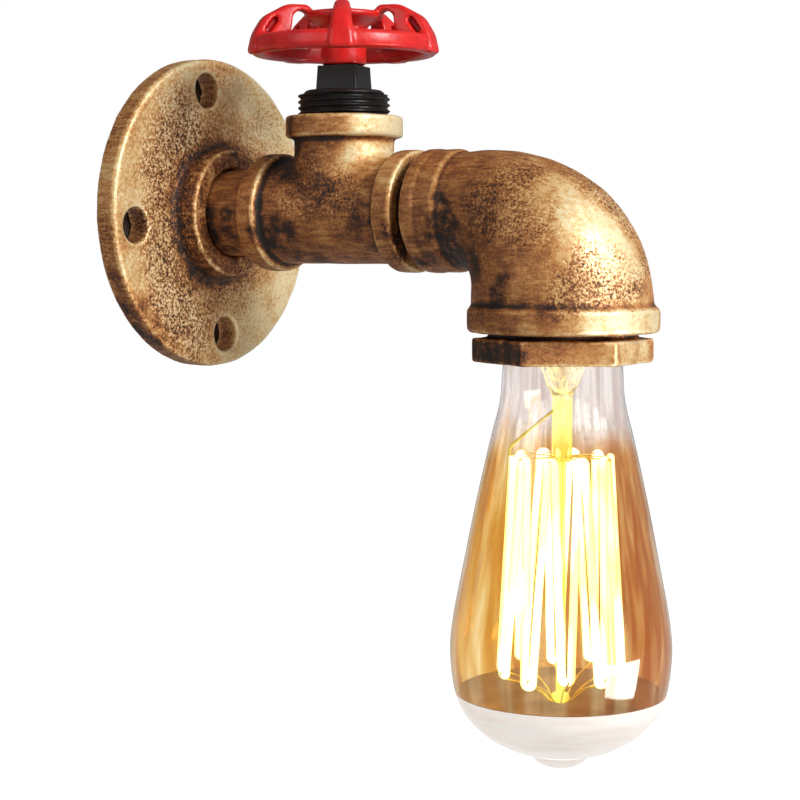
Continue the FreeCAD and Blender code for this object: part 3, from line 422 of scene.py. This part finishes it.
# ---------------------------------------------------------------- other finishes
ENAMEL_RED = (0.62, 0.006, 0.006)
ENAMEL_BRIGHT = (0.76, 0.014, 0.010)
# Dark red of the painted shade in the wheel's hollows.
ENAMEL_PAINTED_SHADE = (0.22, 0.0, 0.003)
BLACK_PAINT = (0.004, 0.003, 0.003)
BLACK_SAND = (0.020, 0.018, 0.016)
TARNISH = 0.35                  # how much darker metal is where it is dull
GLAZE_SHADE = 0.08
GLASS_IOR = 1.45
GOLDEN = (0.80, 0.53, 0.18)     # the amber on the lamp's left and right, as the photograph has it: painted light and shade, paler golden on the left and darker brown on the right
BROWN = (0.62, 0.30, 0.10)
# Direction across the lamp, and the span in millimetres over which the painted light on one side
# turns to painted shade on the other.
LIT_SIDE_ACROSS = (0.5519, -0.8339)
LIT_SIDE_SPAN = (-22.0, 20.0)
# Painted reflections: pale and dark streaks down the amber, and lilac ones in the clear neck.
PAINTED_REFLECTION_PALE = (0.94, 0.82, 0.56)
PAINTED_REFLECTION_DARK = (0.66, 0.40, 0.18)
NECK_REFLECTION_LILAC = (0.68, 0.59, 0.56)
NECK_CLEAR = (0.97, 0.93, 0.91)
NECK_FADE = (-64.0, -52.0)      # heights between which amber turns clear, and how they stray
NECK_WANDER = 16.0
AMBER_RIM = (0.50, 0.27, 0.18)
NECK_RIM = (0.66, 0.58, 0.58)
STEM_CLEAR = (0.96, 0.94, 0.88)
STEM_DARK = (0.03, 0.02, 0.0)
STEM_GLINT = (0.95, 0.72, 0.16)
ROD_YELLOW = (0.95, 0.90, 0.40)
ROD_GLOW = (0.86, 0.80, 0.18)
ROD_FADE = (-50.0, -56.0)
STRAND_WHITE = (0.62, 0.80, 0.98)
STRAND_EDGE = (0.23, 0.34, 0.20)
WIRE_YELLOW = (0.60, 0.48, 0.12)
WIRE_DULL = (0.34, 0.24, 0.05)
WIRE_GLOW = (0.85, 0.78, 0.12)
WIRE_GLOW_DULL = (0.50, 0.42, 0.06)


def darker(colour, share):
    return tuple(channel * (1 - share) for channel in colour)


def red_enamel():
    material, tree, shader = new_material("red_enamel")
    place = tree.place()
    clouds = tree.noise(place, 0.2, 2.0)
    base = tree.mix(tree.between(clouds, 0.3, 0.7), ENAMEL_RED, ENAMEL_BRIGHT)
    # Painted shade: the wheel's hollows turn darker red.
    hollow = tree.math("MULTIPLY", tree.attribute("hollow"), 0.8, clamp=True)
    set_shader(tree, shader, Base_Color=tree.mix(hollow, base, ENAMEL_PAINTED_SHADE),
               Roughness=tree.weigh(0.34, (clouds, 0.12)), Coat_Weight=0.25, Coat_Roughness=0.22,
               Specular_IOR_Level=0.35, Normal=bumped(tree, tree.noise(place, 0.5, 2.0), 0.35, 0.4))
    return material


def black_casting():
    material, tree, shader = new_material("black_casting")
    sand = tree.noise(tree.place(), 1.3, 4.0, 0.7)
    base = tree.mix(tree.between(sand, 0.4, 0.75), BLACK_PAINT, BLACK_SAND)
    set_shader(tree, shader, Base_Color=base, Roughness=tree.weigh(0.34, (sand, 0.2)), Metallic=0.2,
               Normal=bumped(tree, sand, 0.4, 0.2))
    return material


def plain_metal(name, colour, roughness):
    """Turned, pressed or plated metal with faint tarnish and tool lines."""
    material, tree, shader = new_material(name)
    place = tree.place()
    clouds = tree.noise(place, 0.3)
    lines = tree.noise(tree.stretched(place, (0.2, 0.2, 6.0)), 1.0, 2.0)
    base = tree.mix(tree.between(clouds, 0.35, 0.75), colour, darker(colour, TARNISH))
    set_shader(tree, shader, Base_Color=base, Roughness=tree.weigh(roughness, (clouds, 0.15)),
               Metallic=1.0, Normal=bumped(tree, lines, 0.15, 0.05))
    return material


def plain_smooth(name, colour, roughness):
    """Glaze, rubber or vitrite."""
    material, tree, shader = new_material(name)
    clouds = tree.noise(tree.place(), 0.25)
    set_shader(tree, shader, Base_Color=tree.mix(clouds, colour, darker(colour, GLAZE_SHADE)),
               Roughness=tree.weigh(roughness, (clouds, 0.1)))
    return material


def lamp_glass():
    """Clear at the neck and amber below it, with a darker rim. Painted light: the amber is paler
    golden on one side and darker brown on the other, with painted reflection streaks down it and
    lilac painted reflections in the neck.
    """
    material, tree, shader = new_material("amber_glass")
    place = tree.place()
    # Painted light and shade: paler golden on one side of the lamp, darker brown on the other.
    across, along = LIT_SIDE_ACROSS
    side = tree.weigh((tree.axis(place, "X"), across), (tree.axis(place, "Y"), along),
                      -LAMP_AXIS.y * along)
    amber = tree.mix(tree.between(side, *LIT_SIDE_SPAN), GOLDEN, BROWN)
    # Painted reflections: streaks down the amber, and lilac ones in the clear neck.
    reflection_streaks = tree.noise(tree.stretched(place, (0.16, 0.16, 0.006)), 1.0)
    amber = tree.mix(tree.between(reflection_streaks, 0.50, 0.64), amber, PAINTED_REFLECTION_PALE)
    amber = tree.mix(tree.between(reflection_streaks, 0.46, 0.36), amber, PAINTED_REFLECTION_DARK)
    neck_reflections = tree.noise(tree.stretched(place, (0.32, 0.32, 0.010)), 1.0)
    neck = tree.mix(tree.between(neck_reflections, 0.36, 0.60), NECK_REFLECTION_LILAC, NECK_CLEAR)
    height = tree.weigh(tree.axis(place, "Z"), (tree.noise(place, 0.06, 2.0), NECK_WANDER))
    clear = tree.between(height, *NECK_FADE)
    facing = tree.node("ShaderNodeLayerWeight", {"Blend": 0.5}).outputs["Facing"]
    rim = tree.between(facing, 0.62, 0.92)
    base = tree.mix(rim, tree.mix(clear, amber, neck), tree.mix(clear, AMBER_RIM, NECK_RIM))
    set_shader(tree, shader, Base_Color=base, Roughness=0.015, Transmission_Weight=1.0,
               IOR=GLASS_IOR)
    return material


def milky_glass(name, stretch, pale, shade, **values):
    """The foot of the lamp, where the tint ends and the glass shows white."""
    material, tree, shader = new_material(name)
    swirl = tree.noise(tree.stretched(tree.place(), stretch), 1.0)
    set_shader(tree, shader, Base_Color=tree.mix(tree.between(swirl, 0.35, 0.7), pale, shade),
               IOR=GLASS_IOR, **values)
    return material


def stem_glass():
    """Clear flare with golden glints, and a rod that glows yellow between the strands."""
    material, tree, shader = new_material("clear_glass")
    place = tree.place()
    rod = tree.between(tree.axis(place, "Z"), *ROD_FADE)
    glints = tree.noise(tree.stretched(place, (0.9, 0.9, 0.3)), 1.0)
    flare = tree.mix(tree.between(glints, 0.50, 0.60), STEM_DARK, STEM_GLINT)
    set_shader(tree, shader, Base_Color=tree.mix(rod, STEM_CLEAR, ROD_YELLOW), Roughness=0.05,
               Transmission_Weight=0.85, IOR=GLASS_IOR,
               Emission_Color=tree.mix(rod, flare, ROD_GLOW), Emission_Strength=0.55)
    return material


def glowing_filament():
    """White-hot, with a yellow-green edge where a strand turns away."""
    material, tree, shader = new_material("glowing_filament")
    edge = tree.node("ShaderNodeLayerWeight", {"Blend": 0.5}).outputs["Facing"]
    glow = tree.mix(tree.between(edge, 0.10, 0.80), STRAND_WHITE, STRAND_EDGE)
    set_shader(tree, shader, Base_Color=(0.9, 0.7, 0.3, 1.0), Roughness=0.5,
               Emission_Color=glow, Emission_Strength=5.0)
    return material


def support_wire():
    """Thin nickel wire, yellow in the filament's light."""
    material, tree, shader = new_material("support_wire")
    clouds = tree.noise(tree.place(), 0.6, 2.0)
    set_shader(tree, shader, Base_Color=tree.mix(clouds, WIRE_YELLOW, WIRE_DULL), Metallic=0.7,
               Roughness=tree.weigh(0.3, (clouds, 0.1)),
               Emission_Color=tree.mix(clouds, WIRE_GLOW, WIRE_GLOW_DULL), Emission_Strength=0.5)
    return material


BRONZE_GROUP = bronze_group()
FINISH = {
    "wall_flange": bronze("bronze_flange", 0.55, 0.26),
    "flange_nipple": bronze("bronze_pipe", 0.51, 0.12),
    "pipe_tee": bronze("bronze_tee", 0.49, 0.12),
    # The close nipple is kept dark as painted shade: it shows only in the shaded gap between the
    # tee and the elbow.
    "arm_nipple": bronze("bronze_thread_painted_shade", 0.12, 0.20),
    "reducing_elbow": bronze("bronze_elbow", 0.52, 0.10),
    "hex_bushing": bronze("bronze_bushing", 0.44, 0.18),
    "threaded_plug": black_casting(),
    "handwheel": red_enamel(),
}
BRASS = plain_metal("brass", (0.72, 0.50, 0.20), 0.28)
CAP_BRASS = plain_metal("cap_brass", (0.70, 0.55, 0.28), 0.3)
STEEL = plain_metal("plated_steel", (0.55, 0.55, 0.53), 0.28)
SPRING = plain_metal("spring_steel", (0.16, 0.16, 0.18), 0.35)
SUPPORT = support_wire()
CARRIED = {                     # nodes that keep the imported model's shape
    "handwheel_bush": BRASS, "handwheel_washer": STEEL, "handwheel_screw": STEEL,
    "earth_screw": STEEL, "earth_washer": STEEL,
    "holder_body": plain_smooth("porcelain", (0.86, 0.83, 0.76), 0.12),
    "holder_screw_shell": BRASS, "holder_centre_contact": BRASS, "holder_terminals": BRASS,
    "holder_terminal_screws": STEEL, "holder_retaining_ring": SPRING, "wire_ferrules": STEEL,
    "live_wire": plain_smooth("brown_insulation", (0.11, 0.035, 0.012), 0.5),
    "neutral_wire": plain_smooth("blue_insulation", (0.012, 0.05, 0.26), 0.5),
    "bulb_stem": stem_glass(), "bulb_lead_wires": SUPPORT, "bulb_top_hooks": SUPPORT,
    "bulb_bottom_hooks": SUPPORT, "bulb_screw_cap": CAP_BRASS,
    "bulb_cap_insulator": plain_smooth("black_glass", (0.012, 0.010, 0.014), 0.08),
    "bulb_eyelet": BRASS,
    "arm_nipple": FINISH["arm_nipple"], "threaded_plug": FINISH["threaded_plug"],
}


def dress_carried_nodes():
    for name, material in CARRIED.items():
        slots = nodes[name].data.materials
        slots.clear()
        slots.append(material)


# ---------------------------------------------------------------- castings
def remeshed(name, voxel):
    """Closed even mesh of a node's shape, which its wear and waves need."""
    work = bmesh.new()
    work.from_mesh(nodes[name].data)
    bmesh.ops.remove_doubles(work, verts=work.verts, dist=MERGE_DISTANCE)
    temporary = placed(name + "_start", mesh_from(work, name + "_start"))
    change = temporary.modifiers.new("remesh", "REMESH")
    change.mode = "VOXEL"
    change.voxel_size = voxel * MM
    return finished_mesh(temporary, name + "_cast")


def smoothed(points, edges, rounds):
    """Points after this many rounds of moving each halfway to its neighbours' middle."""
    ends = np.concatenate([edges, edges[:, ::-1]])
    count = np.bincount(ends[:, 0], minlength=len(points))[:, None]
    for _ in range(rounds):
        total = [np.bincount(ends[:, 0], weights=points[ends[:, 1], k], minlength=len(points))
                 for k in range(3)]
        points = 0.5 * points + 0.5 * np.stack(total, axis=1) / count
    return points


def painted(points, marks):
    """Strength of the listed marks at each point, the strongest where they meet."""
    strength = np.zeros(len(points))
    if not marks:
        return strength
    stray = [noise.noise_vector(Vector(p) / MARK_WANDER_SIZE) for p in points]
    points = points + MARK_WANDER * np.array(stray)
    for x, y, z, radius, amount in marks:
        away = np.linalg.norm(points - (x, y, z), axis=1) / radius
        fall = np.clip(MARK_FADE - away, 0.0, 1.0)
        strength = np.maximum(strength, amount * fall * fall * (3 - 2 * fall))
    return strength


def lumps(points, size):
    return np.array([noise.noise(Vector(p) / size) for p in points])


def read_rows(items, name, kind, width):
    """One row of numbers for each vertex, edge or normal of a mesh."""
    rows = np.empty(len(items) * width, dtype=kind)
    items.foreach_get(name, rows)
    return rows.reshape(-1, width)


def write_attribute(mesh, name, values):
    attribute = mesh.attributes.new(name, "FLOAT", "POINT")
    attribute.data.foreach_set("value", np.clip(values, 0.0, 1.0).astype(np.float32))


def move_points(mesh, points):
    mesh.vertices.foreach_set("co", (points * MM).ravel())
    mesh.update()


def casting(name, voxel, softness, waved, body, finish_slot):
    """Softer copy of a node, with worn ridges and dark hollows marked on it."""
    mesh = remeshed(name, voxel)
    edges = read_rows(mesh.edges, "vertices", np.int64, 2)
    points = read_rows(mesh.vertices, "co", np.float64, 3) / MM
    points = smoothed(points, edges, softness)
    move_points(mesh, points)
    normals = read_rows(mesh.vertex_normals, "vector", np.float64, 3)
    fine = ((smoothed(points, edges, FINE_SMOOTHING) - points) * normals).sum(axis=1)
    broad = ((smoothed(points, edges, BROAD_SMOOTHING) - points) * normals).sum(axis=1)
    write_attribute(mesh, "ridge", -fine / FINE_RIDGE - RIDGE_START)
    write_attribute(mesh, "hollow", fine / FINE_HOLLOW + broad / BROAD_HOLLOW)
    # The dark marks are partly painted shade, and the golden marks partly painted highlight.
    for label, marks in (("shade_and_dark_tone", SHADE_AND_DARK_TONE), ("speck", SPECK), ("gold_and_highlight", GOLD_AND_HIGHLIGHT)):
        write_attribute(mesh, label, painted(points, marks.get(name, [])))
    if waved:
        rise = WAVE_DEPTH * (lumps(points, WAVE_SIZE) - WAVE_SINK)
        rise += RIPPLE_DEPTH * lumps(points, RIPPLE_SIZE)
        move_points(mesh, points + normals * rise[:, None])
    mesh.shade_smooth()
    mesh.materials.clear()
    mesh.materials.append(FINISH[name])
    add_piece("cast_" + name, mesh, body, finish_slot, name)


# ---------------------------------------------------------------- lamp
def smooth_outline(points, steps):
    """Curve through the points, each stretch cut into steps."""
    ends = [points[0]] + points + [points[-1]]
    curve = []
    for before, start, end, after in zip(ends, ends[1:], ends[2:], ends[3:]):
        for i in range(steps):
            t = i / steps
            blend = [0.5 * (2 * b + (c - a) * t + (2 * a - 5 * b + 4 * c - d) * t * t
                            + (3 * b - a - 3 * c + d) * t ** 3)
                     for a, b, c, d in zip(before, start, end, after)]
            curve.append((max(blend[0], 0.0), blend[1]))
    return curve + [points[-1]]


def turned_mesh(name, profile, segments):
    """Surface of revolution about the lamp's axis; a zero radius closes to one point."""
    work = bmesh.new()
    turns = [math.tau * k / segments for k in range(segments)]
    rings = []
    for radius, z in profile:
        around = turns if radius > POLE_R else [0.0]
        spokes = [Vector((radius * math.cos(a), radius * math.sin(a), z)) for a in around]
        rings.append([work.verts.new((LAMP_AXIS + spoke) * MM) for spoke in spokes])
    for upper, lower in zip(rings, rings[1:]):
        for k in range(segments):
            corners = (upper[k % len(upper)], lower[k % len(lower)],
                       lower[(k + 1) % len(lower)], upper[(k + 1) % len(upper)])
            work.faces.new(list(dict.fromkeys(corners)))
    mesh = mesh_from(work, name)
    mesh.shade_smooth()
    return mesh


def inset(profile, wall):
    """The profile moved inwards, square to itself."""
    moved = []
    for i, (radius, z) in enumerate(profile):
        before = profile[max(i - 1, 0)]
        after = profile[min(i + 1, len(profile) - 1)]
        along = Vector((after[0] - before[0], after[1] - before[1])).normalized()
        moved.append((max(radius + along.y * wall, 0.0), z - along.x * wall))
    moved[-1] = (0.0, profile[-1][1] + wall)
    return moved


def lamp_bulb():
    outside = smooth_outline(GLASS_OUTLINE, GLASS_STEPS)
    inside = inset(outside, GLASS_WALL)
    mesh = turned_mesh("lamp_glass", inside[::-1] + outside, GLASS_SEGMENTS)
    mesh.materials.append(lamp_glass())
    # The milky foot's emission is painted light: it glows as if the filament lit it.
    mesh.materials.append(milky_glass(
        "milky_glass", (0.05, 0.05, 0.35), (0.88, 0.84, 0.80), (0.70, 0.62, 0.55),
        Roughness=0.10, Transmission_Weight=0.25,
        Emission_Color=(0.97, 0.93, 0.88, 1.0), Emission_Strength=0.48))
    mesh.materials.append(milky_glass(
        "milky_inside", (0.06, 0.06, 0.2), (0.42, 0.26, 0.14), (0.24, 0.14, 0.07),
        Roughness=0.25, Transmission_Weight=0.35))
    inner_faces = len(mesh.polygons) // 2
    for face in mesh.polygons:
        if face.center.z < MILKY_TOP * MM:
            face.material_index = 2 if face.index < inner_faces else 1
    add_piece("lamp_glass", mesh, "lamp", "amber_glass", "bulb_glass")


def wire_ring_tree():
    """Geometry nodes: the wire along a curve, repeated round an upright axis."""
    tree = bpy.data.node_groups.new("wire_ring", "GeometryNodeTree")
    sockets = {"Geometry": "Geometry", "Count": "Int", "Thickness": "Float",
               "Unevenness": "Float", "Axis": "Vector", "Turn": "Float", "Seed": "Int",
               "Finish": "Material"}
    for label, kind in sockets.items():
        tree.interface.new_socket(label, in_out="INPUT", socket_type="NodeSocket" + kind)
    tree.interface.new_socket("Geometry", in_out="OUTPUT", socket_type="NodeSocketGeometry")
    make = Tree(tree)
    given = make.node("NodeGroupInput").outputs
    position = make.node("GeometryNodeInputPosition").outputs[0]
    inputs = {"Vector": position, "Scale": WIRE_LUMPS, "W": given["Seed"]}
    swelling = make.node("ShaderNodeTexNoise", inputs, noise_dimensions="4D").outputs["Fac"]
    swelling = make.math("MULTIPLY", make.math("SUBTRACT", swelling, 0.5), 2.0)
    swelling = make.weigh(1.0, (swelling, given["Unevenness"]))
    inputs = {"Resolution": WIRE_SIDES, "Radius": given["Thickness"]}
    profile = make.node("GeometryNodeCurvePrimitiveCircle", inputs).outputs[0]
    inputs = {"Curve": given["Geometry"], "Profile Curve": profile, "Scale": swelling,
              "Fill Caps": True}
    wire = make.node("GeometryNodeCurveToMesh", inputs).outputs[0]
    inputs = {"Count": given["Count"], "Position": given["Axis"]}
    points = make.node("GeometryNodePoints", inputs).outputs[0]
    index = make.node("GeometryNodeInputIndex").outputs[0]
    share = make.math("DIVIDE", make.math("MULTIPLY", index, math.tau), given["Count"])
    angle = make.math("ADD", share, given["Turn"])
    inputs = {"Points": points, "Instance": wire,
              "Rotation": make.node("ShaderNodeCombineXYZ", {"Z": angle}).outputs[0]}
    copies = make.node("GeometryNodeInstanceOnPoints", inputs).outputs[0]
    solid = make.node("GeometryNodeRealizeInstances", {"Geometry": copies}).outputs[0]
    inputs = {"Geometry": solid, "Material": given["Finish"]}
    dressed = make.node("GeometryNodeSetMaterial", inputs).outputs[0]
    make.feed(make.node("NodeGroupOutput").inputs["Geometry"], dressed)
    return tree


def wire_piece(name, run, thickness, finish, finish_slot, replaced, count=1, unevenness=0.0):
    """Wire along the run (radius, degrees, height), repeated count times round the lamp's axis."""
    curve = bpy.data.curves.new(name, "CURVE")
    curve.dimensions = "3D"
    spline = curve.splines.new("NURBS")
    spline.points.add(len(run) - 1)
    for point, (radius, degrees, z) in zip(spline.points, run):
        turn = math.radians(degrees)
        point.co = (radius * math.cos(turn) * MM, radius * math.sin(turn) * MM, z * MM, 1.0)
    spline.order_u = 3
    spline.use_endpoint_u = True
    spline.resolution_u = WIRE_STEPS
    temporary = placed(name, curve)
    change = temporary.modifiers.new("wire_ring", "NODES")
    change.node_group = WIRE_RING
    values = {"Count": count, "Thickness": thickness * MM, "Unevenness": unevenness,
              "Axis": LAMP_AXIS * MM, "Turn": math.radians(CAGE_TURN), "Seed": WIRE_SEED,
              "Finish": finish}
    for socket in WIRE_RING.interface.items_tree:
        if socket.name in values:
            change[socket.identifier] = values[socket.name]
    mesh = finished_mesh(temporary, name)
    mesh.shade_smooth()
    add_piece(name, mesh, "lamp", finish_slot, replaced)


def u_turn(radius, middle, end, back):
    """Points round the end of a strand at this height; back is where they come from and go to."""
    return [(radius, middle - HAIRPIN_HALF, back), (radius, middle - HAIRPIN_HALF, end),
            (radius, middle + HAIRPIN_HALF, end), (radius, middle + HAIRPIN_HALF, back)]


def lit_filament():
    """The cage's hairpins, as thick as they look when they are lit."""
    step = 360.0 / HAIRPINS
    run = [(CAGE_TOP_R, END_TURN, CAGE_TOP_Z)]
    for k, rise in enumerate(LOW_ENDS):
        low = CAGE_LOW_Z + rise
        run += u_turn(CAGE_LOW_R, step * (k + 0.5), low, low + HAIRPIN_RUN)
        if k < HAIRPINS - 1:
            run += u_turn(CAGE_TOP_R, step * (k + 1), CAGE_TOP_Z, CAGE_TOP_Z - HAIRPIN_RUN)
    run.append((CAGE_TOP_R, -END_TURN, CAGE_TOP_Z))
    wire_piece("lit_filament", run, GLOW_R, glowing_filament(), "glowing_filament",
               "bulb_filament", unevenness=GLOW_UNEVENNESS)


def lower_wires():
    """Wires from the end of the stem's rod up and out to each hairpin, curled at their ends."""
    middle = 180.0 / HAIRPINS
    run = [(radius, middle + degrees, BUTTON_Z + rise) for radius, degrees, rise in HOOK_WIRE_RUN]
    wire_piece("lower_wires", run, HOOK_WIRE_R, SUPPORT, "support_wire", "bulb_bottom_hooks",
               count=HAIRPINS)


# ---------------------------------------------------------------- stage
def seen_directly(tree, rays):
    """1 where a ray comes from the camera, also through glass."""
    return tree.math("MAXIMUM", rays["Is Camera Ray"], rays["Is Transmission Ray"])


def world_light():
    """White behind the object, soft fill on it, and a darker room in what it mirrors."""
    world = bpy.data.worlds.new("studio")
    world.use_nodes = True
    bpy.context.scene.world = world
    tree = Tree(world.node_tree)
    world.node_tree.nodes.clear()
    rays = tree.node("ShaderNodeLightPath").outputs
    direction = tree.node("ShaderNodeTexCoord").outputs["Generated"]
    front = tree.between(tree.axis(direction, "Y"), *ROOM_FADE)
    inputs = {"Factor": rays["Is Glossy Ray"], "A": SKY_FILL,
              "B": tree.weigh(ROOM_DARK, (front, ROOM_BRIGHTER))}
    light = tree.node("ShaderNodeMix", inputs).outputs["Result"]
    inputs = {"Factor": seen_directly(tree, rays), "A": light, "B": 1.0}
    strength = tree.node("ShaderNodeMix", inputs).outputs["Result"]
    inputs = {"Color": (1, 1, 1, 1), "Strength": strength}
    background = tree.node("ShaderNodeBackground", inputs).outputs[0]
    tree.feed(tree.node("ShaderNodeOutputWorld").inputs["Surface"], background)


def area_lamp(name, place, aim, size, power):
    light = bpy.data.lights.new(name, "AREA")
    light.shape = "DISK"
    light.size = size
    light.energy = power
    lamp = placed(name, light)
    lamp.location = place
    lamp.rotation_euler = (aim - place).to_track_quat("-Z", "Y").to_euler()


def pale_floor():
    """White to the camera, with a bright panel that only mirrors see."""
    work = bmesh.new()
    bmesh.ops.create_grid(work, x_segments=1, y_segments=1, size=FLOOR_HALF)
    floor = placed("floor", mesh_from(work, "floor"))
    floor.location = (0, 0, FLOOR_Z)
    material, tree, shader = new_material("pale_floor")
    rays = tree.node("ShaderNodeLightPath").outputs
    ground = tree.node("ShaderNodeTexCoord").outputs["Object"]
    ahead = tree.weigh((tree.axis(ground, "Y"), -1.0), PANEL_FROM[1])
    slope = tree.math("DIVIDE", tree.weigh(tree.axis(ground, "X"), -PANEL_FROM[0]), ahead)
    near, far = PANEL_REACH
    soft_near, soft_far = PANEL_SOFT
    panel = tree.math("MULTIPLY", tree.between(ahead, near, near + soft_near),
                      tree.between(ahead, far, far - soft_far))
    for start, full in PANEL_SIDES:
        panel = tree.math("MULTIPLY", panel, tree.between(slope, start, full))
    mirrored = tree.weigh(FLOOR_IN_MIRRORS, (panel, PANEL_POWER))
    mirrored = tree.math("MULTIPLY", rays["Is Glossy Ray"], mirrored)
    white = tree.math("MAXIMUM", seen_directly(tree, rays), mirrored)
    set_shader(tree, shader, Base_Color=(0.35, 0.35, 0.35, 1.0), Roughness=0.9,
               Emission_Color=(1.0, 1.0, 1.0, 1.0),
               Emission_Strength=tree.math("MULTIPLY", white, FLOOR_WHITE))
    floor.data.materials.append(material)


def hole_backing():
    """A dark disc behind the flange, painted shade standing for the shaded wall, seen only from the
    front through the flange's holes.
    """
    work = bmesh.new()
    bmesh.ops.create_circle(work, cap_ends=True, segments=HOLE_BACKING_SEGMENTS,
                            radius=HOLE_BACKING_R * MM)
    upright = Matrix.Rotation(math.radians(90), 4, "X")
    work.transform(Matrix.Translation((0, HOLE_BACKING_GAP * MM, 0)) @ upright)
    backing = placed("hole_backing", mesh_from(work, "hole_backing"))
    material, tree, shader = new_material("shaded_wall")
    back = tree.node("ShaderNodeNewGeometry").outputs["Backfacing"]
    front = tree.math("SUBTRACT", 1.0, back)
    camera_ray = tree.node("ShaderNodeLightPath").outputs["Is Camera Ray"]
    set_shader(tree, shader, Base_Color=(0.030, 0.018, 0.012, 1.0), Roughness=0.9,
               Alpha=tree.math("MULTIPLY", front, camera_ray))
    backing.data.materials.append(material)


def photo_camera():
    data = bpy.data.cameras.new("photo_camera")
    data.lens = CAMERA_LENS
    data.sensor_width = CAMERA_SENSOR
    data.clip_start = CAMERA_NEAR
    camera = placed("photo_camera", data)
    camera.location = CAMERA_AT
    camera.rotation_euler = (math.radians(90.0 - CAMERA_DROP), 0.0, math.radians(CAMERA_TURN))
    bpy.context.scene.camera = camera


# ---------------------------------------------------------------- the scene
bpy.context.scene.view_settings.view_transform = "Standard"
photo_camera()
world_light()
area_lamp("key", KEY_FROM, KEY_AIM, KEY_SIZE, KEY_POWER)
area_lamp("fill", FILL_FROM, KEY_AIM, FILL_SIZE, FILL_POWER)
pale_floor()
hole_backing()
dress_carried_nodes()
noise.seed_set(MARK_SEED)
for casting_name in ("wall_flange", "flange_nipple", "pipe_tee", "reducing_elbow", "hex_bushing"):
    casting(casting_name, CASTING_VOXEL, CASTING_SOFTNESS, True, "fitting", "bronze_casting")
casting("handwheel", WHEEL_VOXEL, WHEEL_SOFTNESS, False, "handwheel_body", "red_enamel")
WIRE_RING = wire_ring_tree()
lamp_bulb()
lit_filament()
lower_wires()
